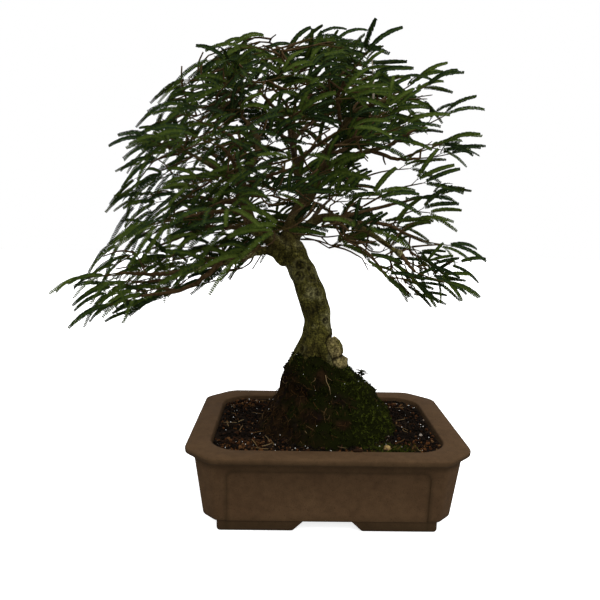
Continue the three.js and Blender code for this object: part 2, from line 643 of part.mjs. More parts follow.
function buildShoot({ curve, roll, hand, sideTurn, sideLeaf, endLeaf }, bend, withSideLeaf) {
  const skin = { points: [], faces: [] };
  const frameAt = (share) => {
    const along = curve.getTangent(share);
    const level = frameOf(along, UP);
    return frameOf(along, level.lift.applyAxisAngle(along, roll + bend));
  };
  const ringAt = (share) => addRing(skin, curve.getPoint(share), frameAt(share), SHOOT.radius);
  const foot = ringAt(0);
  skin.faces.push(foot[0], foot[1], foot[2]);
  const below = ringAt(SHOOT.leafFrom);
  stalkStep(skin, foot, below);
  const above = ringAt(SHOOT.leafTo);
  const side = hand > 0 ? "right" : "left";
  const opening = stalkStep(skin, below, above, withSideLeaf ? side : undefined);
  if (withSideLeaf) {
    const place = (SHOOT.leafFrom + SHOOT.leafTo) / 2;
    const around = frameAt(place);
    const heading = around.heading.clone().applyAxisAngle(around.lift, -hand * sideTurn);
    const frame = frameOf(heading, around.lift);
    const fork = curve.getPoint(place).addScaledVector(heading, PETIOLE.length);
    const neck = addRing(skin, fork.clone().addScaledVector(heading, -PETIOLE.neck), frame, PETIOLE.radius);
    bridge(skin, opening, neck);
    growFork(skin, neck, fork, frame, sideLeaf);
  }
  const frame = frameAt(1);
  const fork = curve.getPoint(1);
  const neckPlace = fork.clone().addScaledVector(frame.heading, -PETIOLE.neck);
  const neck = addRing(skin, neckPlace, frame, PETIOLE.radius);
  stalkStep(skin, above, neck);
  growFork(skin, neck, fork, frame, endLeaf);
  const geometry = new THREE.BufferGeometry().setFromPoints(skin.points);
  geometry.setIndex(skin.faces);
  return toSolid(geometry);
}

const boxesMeet = (a, b) =>
  [0, 1, 2].every((axis) => a.min[axis] <= b.max[axis] && b.min[axis] <= a.max[axis]);

function crosses(piece, placed) {
  const box = piece.boundingBox();
  return placed.some((other) => boxesMeet(box, other.box) && !piece.intersect(other.solid).isEmpty());
}

// A spray is rolled about its twig until it is clear of everything that is already there.
const BENDS = [0, 25, -25, 50, -50, 75, -75, 110, -110].map((degrees) => THREE.MathUtils.degToRad(degrees));

function buildSpray(tip, index, placed) {
  const plan = shootPlan(tip, index);
  for (const withSideLeaf of [true, false])
    for (const bend of BENDS) {
      const spray = buildShoot(plan, bend, withSideLeaf);
      if (!crosses(spray, placed)) return spray;
    }
  return null;
}

const WEED_FOOT = at(40, -6, 124);
const WEED_TOP = at(42, -7, 152);
const WEED = { stem: 0.9, blade: { length: 8, wide: 4.8, thick: 1.6 }, turns: [-20, 75, 165, 250] };

function weedHole() {
  const above = WEED_FOOT.clone().lerp(WEED_TOP, 0.6);
  const foot = WEED_FOOT.clone().addScaledVector(UP, -GAP);
  return tube([foot, above], () => WEED.stem + 2.4 * GAP, 5, 1);
}

function buildWeed() {
  const { stem, turns } = WEED;
  const { length, wide, thick } = WEED.blade;
  const pieces = [tube([WEED_FOOT, WEED_TOP], () => stem, 4, 2)];
  turns.forEach((degrees, place) => {
    const turn = THREE.MathUtils.degToRad(degrees);
    const heading = at(Math.cos(turn), Math.sin(turn), 0.35).normalize();
    const foot = WEED_FOOT.clone().lerp(WEED_TOP, 0.78 + 0.05 * place);
    const blade = new THREE.OctahedronGeometry(1, 0);
    blade.scale(length / 2, wide / 2, thick / 2).translate(length / 2, 0, 0);
    blade.applyQuaternion(new THREE.Quaternion().setFromUnitVectors(at(1, 0, 0), heading));
    pieces.push(toSolid(blade.translate(foot.x, foot.y, foot.z)));
  });
  return joined(pieces);
}

const finish = (color, roughness) => new THREE.MeshStandardMaterial({ color, roughness, metalness: 0 });
const STONEWARE = finish(0x6b5541, 0.8);
const GRANULES = finish(0x3a2b21, 0.95);
const MOSS = finish(0x2c3a17, 1);
const BARK = finish(0x6f6b48, 0.85);
const LEAF = finish(0x3f5226, 0.6);
const SEEDLING = finish(0x4c6a2c, 0.6);
const MESH_PLASTIC = finish(0x1c1f1c, 0.6);

const tree = new THREE.Group();
const { wood, tips } = buildWood();
const hole = joined([footOfTrunk(GAP), ...burl(GAP)]);
const mound = buildMound(hole);
const placed = [wood, mound].map((solid) => ({ solid, box: solid.boundingBox() }));
tree.add(toMesh("pot", buildPot(), STONEWARE));
tree.add(toMesh("foot_front_left", buildFoot(-1, -1), STONEWARE));
tree.add(toMesh("foot_front_right", buildFoot(1, -1), STONEWARE));
tree.add(toMesh("foot_back_left", buildFoot(-1, 1), STONEWARE));
tree.add(toMesh("foot_back_right", buildFoot(1, 1), STONEWARE));
tree.add(toMesh("drain_mesh_left", drainMesh(-1), MESH_PLASTIC));
tree.add(toMesh("drain_mesh_right", drainMesh(1), MESH_PLASTIC));
tree.add(toMesh("soil", buildSoil(hole), GRANULES));
tree.add(toMesh("moss_mound", mound, MOSS));
tree.add(toMesh("trunk", wood, BARK));
tree.add(toMesh("weed_sprout", buildWeed(), SEEDLING));
tips.forEach((tip, index) => {
  const spray = buildSpray(tip, index, placed);
  if (!spray) return;
  placed.push({ solid: spray, box: spray.boundingBox() });
  tree.add(toMesh(`spray_${String(index + 1).padStart(2, "0")}`, spray, LEAF));
});

const whole = new THREE.Box3().setFromObject(tree);
const middle = whole.getCenter(new THREE.Vector3());
tree.position.set(-middle.x, -middle.y, -whole.min.z);
const bonsai = new THREE.Group();
bonsai.add(tree);

export default bonsai;
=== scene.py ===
# The looks of a pink powder puff bonsai, out of flower, in its stoneware pot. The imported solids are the
# frame, and each section below makes one piece, or one group of like pieces, at its place round them.
import math

import bmesh
import bpy
import numpy as np
from mathutils import Matrix, Vector, noise


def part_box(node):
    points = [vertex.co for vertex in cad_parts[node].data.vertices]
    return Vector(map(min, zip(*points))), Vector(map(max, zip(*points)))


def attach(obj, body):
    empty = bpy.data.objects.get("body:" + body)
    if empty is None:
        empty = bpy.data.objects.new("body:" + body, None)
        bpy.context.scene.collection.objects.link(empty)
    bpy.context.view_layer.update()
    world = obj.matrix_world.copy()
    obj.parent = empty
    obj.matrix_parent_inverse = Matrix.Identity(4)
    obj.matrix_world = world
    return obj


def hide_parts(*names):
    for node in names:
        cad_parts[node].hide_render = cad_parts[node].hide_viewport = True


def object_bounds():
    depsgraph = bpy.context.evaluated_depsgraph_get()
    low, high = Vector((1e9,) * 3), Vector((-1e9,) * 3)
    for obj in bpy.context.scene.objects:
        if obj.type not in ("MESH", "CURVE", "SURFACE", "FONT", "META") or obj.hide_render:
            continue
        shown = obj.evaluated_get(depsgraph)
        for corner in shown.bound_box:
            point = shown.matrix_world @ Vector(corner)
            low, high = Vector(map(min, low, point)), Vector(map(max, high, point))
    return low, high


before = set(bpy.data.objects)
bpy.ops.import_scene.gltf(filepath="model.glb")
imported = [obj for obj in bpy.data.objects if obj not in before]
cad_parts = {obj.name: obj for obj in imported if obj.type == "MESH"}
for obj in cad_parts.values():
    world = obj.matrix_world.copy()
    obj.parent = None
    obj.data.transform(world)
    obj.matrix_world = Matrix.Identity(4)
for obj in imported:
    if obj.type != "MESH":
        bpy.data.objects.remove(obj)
solid_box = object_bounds()

# The view and the light. The camera stands a little above the middle of the crown and left of the pot, and
# a white room lights the tree, with one large soft lamp high at the front right. Places are in millimetres
# from the middle of the pot on the ground, and at() turns them into metres in the frame.
MM = 0.001
pot_low, pot_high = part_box("pot")
POT_MIDDLE = Vector(((pot_low.x + pot_high.x) / 2, (pot_low.y + pot_high.y) / 2, 0))
CAMERA_PLACE = (-44, -680, 329)
CAMERA_TURN = {"yaw": -1.08, "down": 8.28, "roll": 1.13}
ROOM_LIGHT = [(0.0, 0.15), (0.45, 0.25), (0.6, 0.45), (0.8, 1.0), (1.0, 1.3)]
LAMP = {"place": (450, -850, 1450), "aim": (0, 0, 250), "size": 1.1, "watts": 15}
FLOOR = {"size": 8, "sunk": 0.2, "white": (0.95, 0.95, 0.95), "rough": 0.9, "glow": 0.8, "bounce": 0.42}


def at(x, y, z):
    return POT_MIDDLE + Vector((x, y, z)) * MM


class Finish:
    """The nodes of one material, or of the room's light, while they are put together."""

    def __init__(self, owner):
        owner.use_nodes = True
        self.owner = owner
        self.nodes = owner.node_tree.nodes
        self.links = owner.node_tree.links
        self.shader = self.nodes.get("Principled BSDF")

    def feed(self, socket, value):
        """Gives a socket another node's output, a plain number or a plain colour."""
        if isinstance(value, bpy.types.NodeSocket):
            self.links.new(value, socket)
        else:
            socket.default_value = (*value, 1) if isinstance(value, tuple) else value

    def split(self, vector):
        parts = self.nodes.new("ShaderNodeSeparateXYZ")
        self.links.new(vector, parts.inputs["Vector"])
        return parts.outputs

    def reckon(self, operation, first, second=0.0, third=0.0):
        """One step of arithmetic on values, which are plain numbers or sockets."""
        step = self.nodes.new("ShaderNodeMath")
        step.operation = operation
        for socket, value in zip(step.inputs, (first, second, third)):
            self.feed(socket, value)
        return step.outputs["Value"]

    def tones(self, source, stops):
        """Colours along one value. Each stop is a place from 0 to 1 with a colour or a grey level."""
        made = self.nodes.new("ShaderNodeValToRGB")
        elements = made.color_ramp.elements
        while len(elements) < len(stops):
            elements.new(1)
        for element, (place, colour) in zip(elements, stops):
            element.position = place
            element.color = (*colour, 1) if isinstance(colour, tuple) else (colour, colour, colour, 1)
        self.links.new(source, made.inputs["Fac"])
        return made.outputs["Color"]

    def mix(self, share, first, second, way="MIX"):
        """Two colours mixed by a share. Each is a colour output or a plain colour."""
        mix = self.nodes.new("ShaderNodeMix")
        mix.data_type = "RGBA"
        mix.blend_type = way
        sockets = {socket.identifier: socket for socket in mix.inputs}
        for name, value in (("Factor_Float", share), ("A_Color", first), ("B_Color", second)):
            self.feed(sockets[name], value)
        return next(socket for socket in mix.outputs if socket.identifier == "Result_Color")

    def shade(self, tone, source, stops):
        """A colour made darker or lighter by grey levels along one value."""
        return self.mix(1.0, tone, self.tones(source, stops), "MULTIPLY")

    def stored(self, name):
        """The numbers stored with a piece's points."""
        reader = self.nodes.new("ShaderNodeAttribute")
        reader.attribute_name = name
        return reader.outputs["Fac"]

    def place(self, stretch=(1, 1, 1)):
        """Where a point of the piece lies, with some axes stretched."""
        stretched = self.nodes.new("ShaderNodeMapping")
        stretched.inputs["Scale"].default_value = stretch
        self.links.new(self.nodes.new("ShaderNodeTexCoord").outputs["Object"], stretched.inputs["Vector"])
        return stretched.outputs["Vector"]

    def cloud(self, fineness, detail=2, rough=0.5, twist=0, stretch=(1, 1, 1)):
        """Soft random patches, smaller where the fineness is larger."""
        texture = self.nodes.new("ShaderNodeTexNoise")
        values = {"Scale": fineness, "Detail": detail, "Roughness": rough, "Distortion": twist}
        for name, value in values.items():
            texture.inputs[name].default_value = value
        self.links.new(self.place(stretch), texture.inputs["Vector"])
        return texture.outputs["Fac"]

    def show(self, seen, lighting, output):
        """Shows the camera one shader and lights the tree by another."""
        path = self.nodes.new("ShaderNodeLightPath")
        choice = self.nodes.new("ShaderNodeMixShader")
        self.links.new(path.outputs["Is Camera Ray"], choice.inputs["Fac"])
        self.links.new(lighting, choice.inputs[1])
        self.links.new(seen, choice.inputs[2])
        self.links.new(choice.outputs["Shader"], self.nodes[output].inputs["Surface"])

    def done(self, tone, rough, gloss=0.5, relief=None, depth=0, strength=1):
        """The material with its colour, roughness and gloss, and a fine relief that catches the light."""
        self.feed(self.shader.inputs["Base Color"], tone)
        self.feed(self.shader.inputs["Roughness"], rough)
        self.shader.inputs["Specular IOR Level"].default_value = gloss
        if relief:
            bump = self.nodes.new("ShaderNodeBump")
            bump.inputs["Distance"].default_value = depth * MM
            bump.inputs["Strength"].default_value = strength
            self.links.new(relief, bump.inputs["Height"])
            self.links.new(bump.outputs["Normal"], self.shader.inputs["Normal"])
        return self.owner


def new_finish(name):
    return Finish(bpy.data.materials.new(name))


def primitive(name, add, **facts):
    """A new primitive, the only one selected, under its piece's name."""
    bpy.ops.object.select_all(action="DESELECT")
    add(**facts)
    piece = bpy.context.object
    piece.name = name
    return piece


def set_up_camera():
    lens = bpy.data.cameras.new("view_camera")
    lens.lens = 36
    lens.sensor_width = 36
    camera = bpy.data.objects.new("view_camera", lens)
    bpy.context.scene.collection.objects.link(camera)
    yaw = Matrix.Rotation(math.radians(CAMERA_TURN["yaw"]), 4, "Z")
    down = Matrix.Rotation(math.radians(90 - CAMERA_TURN["down"]), 4, "X")
    roll = Matrix.Rotation(math.radians(CAMERA_TURN["roll"]), 4, "Z")
    camera.matrix_world = Matrix.Translation(at(*CAMERA_PLACE)) @ yaw @ down @ roll
    bpy.context.scene.camera = camera


def light_room():
    room = Finish(bpy.data.worlds.new("white_room"))
    seen = room.nodes["Background"]
    seen.inputs["Color"].default_value = (1, 1, 1, 1)
    seen.inputs["Strength"].default_value = 1
    lighting = room.nodes.new("ShaderNodeBackground")
    height = room.split(room.nodes.new("ShaderNodeTexCoord").outputs["Generated"])["Z"]
    share = room.reckon("MULTIPLY_ADD", height, 0.5, 0.5)
    room.feed(lighting.inputs["Color"], room.tones(share, ROOM_LIGHT))
    room.show(seen.outputs["Background"], lighting.outputs["Background"], "World Output")
    bpy.context.scene.world = room.owner
    bpy.context.scene.view_settings.view_transform = "Standard"
    bpy.ops.object.light_add(type="AREA", location=at(*LAMP["place"]))
    lamp = bpy.context.object
    lamp.name = "soft_lamp"
    lamp.data.size = LAMP["size"]
    lamp.data.energy = LAMP["watts"]
    aim = at(*LAMP["aim"]) - lamp.location
    lamp.rotation_euler = aim.to_track_quat("-Z", "Y").to_euler()


def lay_floor():
    place = (0, 0, -FLOOR["sunk"] * MM)
    floor = primitive("studio_floor", bpy.ops.mesh.primitive_plane_add, size=FLOOR["size"], location=place)
    pale = new_finish("white_floor")
    pale.feed(pale.shader.inputs["Emission Color"], (1, 1, 1))
    pale.feed(pale.shader.inputs["Emission Strength"], FLOOR["glow"])
    dull = pale.nodes.new("ShaderNodeBsdfDiffuse")
    pale.feed(dull.inputs["Color"], (FLOOR["bounce"],) * 3)
    pale.show(pale.shader.outputs["BSDF"], dull.outputs["BSDF"], "Material Output")
    floor.data.materials.append(pale.done(FLOOR["white"], FLOOR["rough"]))


set_up_camera()
light_room()
lay_floor()

# The pot: one piece of unglazed brown stoneware, pressed in a mould and fired. Its plan is a rectangle with
# cut corners, its walls lean out to a flat rim, each wall has a shallow panel, and an L-shaped foot stands
# under each corner, with wide gaps between the feet and two drain holes in the floor.
POT_HEIGHT = 87.5
RIM = (300, 235, 30)
OPENING = (250, 185, 20)
BODY_TOP = (278, 212, 18)
BODY_FOOT = (263, 197, 15)
INSIDE_FLOOR = (236, 171, 14)
FOOT_HEIGHT = 10.7
FLOOR_TOP = 20
CORNER_STEPS = 5
FOOT = {"half_width": 115.5, "half_depth": 96.25, "band": 15, "gap_top": 24.5, "gap_ground": 37.5}
PANEL = {"front_half": 104.5, "side_half": 71.5, "low": 12.7, "high": 69.3, "corner": 8, "deep": 1.2}
# Painted shade: the clay is darkened along each panel's edge, where the shallow recess casts a thin shadow.
PANEL_EDGE_SHADE = [(0.0004, 0.45), (0.0012, 0.06), (0.004, 0)]
# Painted shade by height: darker low down by the ground, in the cove under the rim and on the rim's lip; the
# rim's top is left as it is.
HEIGHT_SHADE = [
    (0.0, 0.6), (0.0107, 0.4), (0.018, 0), (0.07, 0),
    (0.0765, 0.5), (0.0805, 0.5), (0.0855, 0.42), (0.0868, 0),
]
WALL = {"front": 98.5, "side": 131.5, "low": 15.2, "rise": 57.8, "run": 7.5}
LIP = 7.2
DRAIN = {"x": 60, "radius": 12.5}
STONEWARE = {
    "pale": (0.096, 0.055, 0.027),
    "brown": (0.076, 0.042, 0.020),
    "dark": (0.040, 0.023, 0.010),
    # The next colour is painted shade, used along the panels' edges, under the rim, on its lip and low down.
    "painted_shade": (0.026, 0.017, 0.007),
}


def only(piece):
    """Selects one piece alone and makes it the active one."""
    bpy.ops.object.select_all(action="DESELECT")
    piece.select_set(True)
    bpy.context.view_layer.objects.active = piece


def settle(piece):
    """Puts the piece's place, turn and size into its mesh."""
    only(piece)
    bpy.ops.object.transform_apply(location=True, rotation=True, scale=True)


def finish_modifiers(piece):
    only(piece)
    for modifier in list(piece.modifiers):
        bpy.ops.object.modifier_apply(modifier=modifier.name)


def belongs(piece, material, slot, *nodes):
    """Gives the piece its finish and its body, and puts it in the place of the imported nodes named."""
    piece.data.materials.append(material)
    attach(piece, "root")
    if nodes:
        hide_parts(*nodes)


def plan_ring(plan, height, grow=0.0, soft=0.3):
    """The points of the pot's plan at one height, rounded where the cut of a corner ends."""
    width, depth, cut = plan
    x = width / 2 + grow
    y = depth / 2 + grow
    quarter = [(x, y - cut), (x - cut, y)]
    back = quarter + [(-across, deep) for across, deep in reversed(quarter)]
    corners = [Vector(corner) for corner in back + [(-across, -deep) for across, deep in back]]
    ring = []
    for number, corner in enumerate(corners):
        before = (corners[number - 1] - corner).normalized() * cut * soft
        after = (corners[(number + 1) % len(corners)] - corner).normalized() * cut * soft
        for step in range(CORNER_STEPS + 1):
            share = step / CORNER_STEPS
            place = corner + before * (1 - share) ** 2 + after * share**2
            ring.append(at(place.x, place.y, height))
    return ring


def draw_up(name, rings):
    """A closed body drawn up ring by ring, as clay is, with both ends filled."""
    circle = {"vertices": len(rings[0]), "radius": MM, "location": (0, 0, 0)}
    piece = primitive(name, bpy.ops.mesh.primitive_circle_add, **circle)
    bpy.ops.object.mode_set(mode="EDIT")
    mesh = bmesh.from_edit_mesh(piece.data)
    order = mesh.verts.layers.int.new("order")
    for number, point in enumerate(mesh.verts):
        point[order] = number
    for number, ring in enumerate(rings):
        if number:
            bpy.ops.mesh.extrude_edges_move()
        mesh = bmesh.from_edit_mesh(piece.data)
        order = mesh.verts.layers.int["order"]
        for point in mesh.verts:
            if point.select:
                point.co = ring[point[order]]
        bmesh.update_edit_mesh(piece.data)
    bpy.ops.mesh.select_all(action="SELECT")
    bpy.ops.mesh.fill_holes(sides=0)
    bpy.ops.mesh.select_all(action="SELECT")
    bpy.ops.mesh.normals_make_consistent(inside=False)
    bpy.ops.object.mode_set(mode="OBJECT")
    piece.data.attributes.remove(piece.data.attributes["order"])
    return piece


def carve(piece, tool, operation="DIFFERENCE"):
    """Cuts the tool's shape out of the piece, or joins it on, and puts the tool away."""
    change = piece.modifiers.new("carve", "BOOLEAN")
    change.operation = operation
    change.solver = "EXACT"
    change.object = tool
    finish_modifiers(piece)
    bpy.data.objects.remove(tool)


def block(name, low, high):
    """A cube primitive stretched between two corners given in millimetres."""
    low, high = at(*low), at(*high)
    middle = (low + high) / 2
    piece = primitive(name, bpy.ops.mesh.primitive_cube_add, size=1, location=middle, scale=high - low)
    settle(piece)
    return piece


def choose(piece, kind, wanted):
    """In edit mode, selects the edges or faces that the test accepts."""
    bpy.ops.mesh.select_mode(type=kind)
    bpy.ops.mesh.select_all(action="DESELECT")
    mesh = bmesh.from_edit_mesh(piece.data)
    for item in mesh.edges if kind == "EDGE" else mesh.faces:
        item.select_set(wanted(item))
    bmesh.update_edit_mesh(piece.data)


def soften_edges(piece, width, wanted):
    """In edit mode, rounds the edges whose two ends the test accepts. All is in millimetres."""
    choose(piece, "EDGE", lambda edge: all(wanted((end.co - POT_MIDDLE) / MM) for end in edge.verts))
    bpy.ops.mesh.bevel(offset=width * MM, segments=4)


def cut_foot(turn_x, turn_y):
    """One L-shaped foot: a bar along the front, bent round the corner, whose ends slant in to the ground."""
    wide, deep, band = FOOT["half_width"], FOOT["half_depth"], FOOT["band"]
    slant = FOOT["gap_ground"] - FOOT["gap_top"]
    foot = block("foot", (FOOT["gap_top"], -deep, 0), (wide, band - deep, FOOT_HEIGHT + 1.5))
    bpy.ops.object.mode_set(mode="EDIT")
    bpy.ops.mesh.select_all(action="SELECT")
    bpy.ops.mesh.bisect(plane_co=at(wide - band, 0, 0), plane_no=(1, 0, 0))
    turn_place = at(wide - band, 0, 0).x
    choose(foot, "FACE", lambda face: face.normal.y > 0.9 and face.calc_center_median().x > turn_place)
    side = deep - band - FOOT["gap_top"]
    bpy.ops.mesh.extrude_region_move(TRANSFORM_OT_translate={"value": (0, side * MM, 0)})
    bpy.ops.mesh.select_mode(type="VERT")
    mesh = bmesh.from_edit_mesh(foot.data)
    for point in mesh.verts:
        place = (point.co - POT_MIDDLE) / MM
        if place.z < 1 and place.x < FOOT["gap_top"] + 1:
            point.co.x += slant * MM
        if place.z < 1 and place.y > -FOOT["gap_top"] - 1:
            point.co.y -= slant * MM
    bmesh.update_edit_mesh(foot.data)
    soften_edges(foot, 4, lambda end: end.x > wide - 0.1 and end.y < 0.1 - deep)
    soften_edges(foot, 3.2, lambda end: end.z < 0.1 and (end.y < 4.2 - deep or end.x > wide - 4.2))
    bpy.ops.object.mode_set(mode="OBJECT")
    foot.data.transform(Matrix.Translation(-POT_MIDDLE))
    foot.data.transform(Matrix.Diagonal((turn_x, turn_y, 1, 1)))
    foot.data.transform(Matrix.Translation(POT_MIDDLE))
    only(foot)
    bpy.ops.object.mode_set(mode="EDIT")
    bpy.ops.mesh.select_all(action="SELECT")
    bpy.ops.mesh.normals_make_consistent(inside=False)
    bpy.ops.object.mode_set(mode="OBJECT")
    return foot


def panel_tool(half, reach, turn):
    """The block that presses a panel into one wall: it leans with the wall, and its corners are round."""
    deep = PANEL["deep"]
    tool = block("panel", (-half, -20, PANEL["low"]), (half, 0, PANEL["high"]))

    def is_upper_corner(edge):
        first, second = (end.co for end in edge.verts)
        return abs(first.y - second.y) > MM and first.z > PANEL["high"] * 0.9 * MM

    bpy.ops.object.mode_set(mode="EDIT")
    choose(tool, "EDGE", is_upper_corner)
    bpy.ops.mesh.bevel(offset=PANEL["corner"] * MM, segments=7)
    bpy.ops.object.mode_set(mode="OBJECT")
    for point in tool.data.vertices:
        height = (point.co.z / MM - WALL["low"]) / WALL["rise"]
        point.co.y -= (reach - deep + WALL["run"] * height) * MM
    about = Matrix.Translation(POT_MIDDLE)
    tool.data.transform(about @ Matrix.Rotation(math.radians(turn), 4, "Z") @ about.inverted())
    return tool


def grain_group():
    """Fired clay's surface: a fine grain, pin marks and slow patches, as a mask and a height."""
    group = bpy.data.node_groups.new("fired_clay_grain", "ShaderNodeTree")
    group.interface.new_socket("Patch Size", in_out="INPUT", socket_type="NodeSocketFloat")
    group.interface.new_socket("Grain Size", in_out="INPUT", socket_type="NodeSocketFloat")
    group.interface.new_socket("Patches", in_out="OUTPUT", socket_type="NodeSocketFloat")
    group.interface.new_socket("Grain", in_out="OUTPUT", socket_type="NodeSocketFloat")
    nodes, links = group.nodes, group.links
    given = nodes.new("NodeGroupInput")
    result = nodes.new("NodeGroupOutput")
    place = nodes.new("ShaderNodeTexCoord")
    for size, name, detail, rough in (("Patch Size", "Patches", 5, 0.6), ("Grain Size", "Grain", 3, 0.7)):
        texture = nodes.new("ShaderNodeTexNoise")
        texture.inputs["Detail"].default_value = detail
        texture.inputs["Roughness"].default_value = rough
        links.new(place.outputs["Object"], texture.inputs["Vector"])
        links.new(given.outputs[size], texture.inputs["Scale"])
        links.new(texture.outputs["Fac"], result.inputs[name])
    return group


fired_clay_grain = grain_group()


def clay_grain(finish, patch_size, grain_size):
    """The patches and the fine grain of the shared group, at the sizes given."""
    clay = finish.nodes.new("ShaderNodeGroup")
    clay.node_tree = fired_clay_grain
    clay.inputs["Patch Size"].default_value = patch_size
    clay.inputs["Grain Size"].default_value = grain_size
    return clay.outputs["Patches"], clay.outputs["Grain"]


def panel_distance(clay, across, up, half):
    """How far a place on a wall lies from the panel's edge, in metres, with round upper corners."""
    corner = PANEL["corner"]
    beside = clay.reckon("SUBTRACT", clay.reckon("ABSOLUTE", across), (half - corner) * MM)
    above = clay.reckon("SUBTRACT", up, (PANEL["high"] - corner) * MM)
    past = [clay.reckon("MAXIMUM", value) for value in (beside, above)]
    squares = [clay.reckon("MULTIPLY", value, value) for value in past]
    outside = clay.reckon("SQRT", clay.reckon("ADD", *squares))
    inside = clay.reckon("MINIMUM", clay.reckon("MAXIMUM", beside, above))
    distance = clay.reckon("ADD", outside, inside)
    return clay.reckon("ABSOLUTE", clay.reckon("SUBTRACT", distance, corner * MM))


def stoneware():
    """Brown clay, patchy and finely grained, with painted shade along the panels' edges, under the rim, on
    the rim's lip and low down by the ground.
    """
    clay = new_finish("unglazed_stoneware")
    patches, grain = clay_grain(clay, 22, 700)
    smears, _ = clay_grain(clay, 110, 1500)
    tone = clay.tones(patches, [(0.35, STONEWARE["brown"]), (0.7, STONEWARE["pale"])])
    tone = clay.shade(tone, smears, [(0.3, 0.78), (0.6, 1)])
    tone = clay.mix(clay.tones(grain, [(0.3, 0), (0.42, 1)]), STONEWARE["dark"], tone)
    spot = clay.split(clay.place())
    facing = clay.split(clay.nodes.new("ShaderNodeNewGeometry").outputs["True Normal"])
    # Painted shade along each panel's edge, on the walls only.
    for axis, middle, half, normal in (
        ("X", POT_MIDDLE.x, PANEL["front_half"], facing["Y"]),
        ("Y", POT_MIDDLE.y, PANEL["side_half"], facing["X"]),
    ):
        across = clay.reckon("SUBTRACT", spot[axis], middle)
        near = clay.tones(panel_distance(clay, across, spot["Z"], half), PANEL_EDGE_SHADE)
        share = clay.shade(near, clay.reckon("ABSOLUTE", normal), [(0.6, 0), (0.8, 1)])
        tone = clay.mix(share, tone, STONEWARE["painted_shade"])
    # Painted shade by height: low down, in the cove under the rim and on the rim's lip.
    tone = clay.mix(clay.tones(spot["Z"], HEIGHT_SHADE), tone, STONEWARE["painted_shade"])
    rough = clay.tones(patches, [(0.3, 0.72), (0.7, 0.9)])
    return clay.done(tone, rough, gloss=0.06, relief=grain, depth=0.3, strength=0.6)


def make_pot():
    under_rim = POT_HEIGHT - LIP
    pot = draw_up("stoneware_pot", [
        plan_ring(BODY_FOOT, FOOT_HEIGHT, -4.5),
        plan_ring(BODY_FOOT, FOOT_HEIGHT + 0.4, -2.6),
        plan_ring(BODY_FOOT, FOOT_HEIGHT + 1.4, -1.2),
        plan_ring(BODY_FOOT, FOOT_HEIGHT + 2.9, -0.3),
        plan_ring(BODY_FOOT, FOOT_HEIGHT + 4.5),
        plan_ring(BODY_TOP, under_rim - 7),
        plan_ring((*BODY_TOP[:2], 19.5), under_rim - 4.6, 0.8),
        plan_ring((*BODY_TOP[:2], 23.5), under_rim - 2.2, 2.8),
        plan_ring((*BODY_TOP[:2], 28), under_rim - 0.8, 5),
        plan_ring(RIM, under_rim, -3.2),
        plan_ring(RIM, under_rim + 0.5, -1.2),
        plan_ring(RIM, under_rim + 1.6, -0.2),
        plan_ring(RIM, POT_HEIGHT - 2.2),
        plan_ring(RIM, POT_HEIGHT - 0.8, -0.6),
        plan_ring(RIM, POT_HEIGHT, -2.4),
        plan_ring(OPENING, POT_HEIGHT, 2, 0.7),
        plan_ring(OPENING, POT_HEIGHT - 0.7, 0.6, 0.7),
        plan_ring(OPENING, POT_HEIGHT - 2.2, 0, 0.7),
        plan_ring(INSIDE_FLOOR, FLOOR_TOP + 4, 0, 0.7),
        plan_ring(INSIDE_FLOOR, FLOOR_TOP, -4, 0.7),
    ])
    for turn_x in (-1, 1):
        for turn_y in (-1, 1):
            carve(pot, cut_foot(turn_x, turn_y), "UNION")
    for half, reach, turns in (
        (PANEL["front_half"], WALL["front"], (0, 180)),
        (PANEL["side_half"], WALL["side"], (90, -90)),
    ):
        for turn in turns:
            carve(pot, panel_tool(half, reach, turn))
    drill = {"vertices": 40, "radius": DRAIN["radius"] * MM, "depth": 30 * MM}
    for side in (-1, 1):
        place = at(side * DRAIN["x"], 0, 15)
        hole = primitive("drain_hole", bpy.ops.mesh.primitive_cylinder_add, location=place, **drill)
        settle(hole)
        carve(pot, hole)
    edges = pot.modifiers.new("soft_edges", "BEVEL")
    edges.width = 0.6 * MM
    edges.segments = 2
    edges.limit_method = "ANGLE"
    edges.angle_limit = math.radians(40)
    finish_modifiers(pot)
    bpy.ops.object.shade_smooth_by_angle(angle=math.radians(32))
    feet = ["foot_front_left", "foot_front_right", "foot_back_left", "foot_back_right"]
    belongs(pot, stoneware(), "stoneware", "pot", *feet)


make_pot()

# The drain meshes: two squares of black plastic net over the drain holes, under the soil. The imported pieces
# are right as they are, and get the dull, slightly scratched look of moulded plastic.
def net_plastic():
    plastic = new_finish("drain_net_plastic")
    patches, grain = clay_grain(plastic, 60, 900)
    tone = plastic.tones(patches, [(0.35, (0.008, 0.009, 0.008)), (0.7, (0.02, 0.022, 0.02))])
    return plastic.done(tone, plastic.tones(grain, [(0.3, 0.45), (0.7, 0.65)]))


drain_net = net_plastic()
for side in ("left", "right"):
    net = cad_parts["drain_mesh_" + side]
    net.data.materials.clear()
    net.data.materials.append(drain_net)

# The soil: a bed of dark humus that fills the pot to just under its rim, dished a little at the walls. It is
# pressed in by hand round the roots, so its top is uneven. The loose grains on it are made further on.
SOIL_LEVEL = 79
SOIL_HEAP = 3.3
SOIL_EDGE = 2.2
SOIL_CELLS = (100, 74)
SOIL_RELIEF = {"lump": 1.6, "crumb": 0.9}
HUMUS = {"dark": (0.004, 0.0026, 0.0016), "brown": (0.013, 0.0078, 0.0045), "red": (0.03, 0.0125, 0.0055)}


def soil_height(x, y):
    """The height of the soil's top at a place, in millimetres."""
    lump = noise.noise(Vector((x / 17, y / 17, 3.1)))
    crumb = noise.noise(Vector((x / 3.1, y / 3.1, 7.7)))
    return SOIL_LEVEL + SOIL_HEAP + SOIL_RELIEF["lump"] * lump + SOIL_RELIEF["crumb"] * crumb


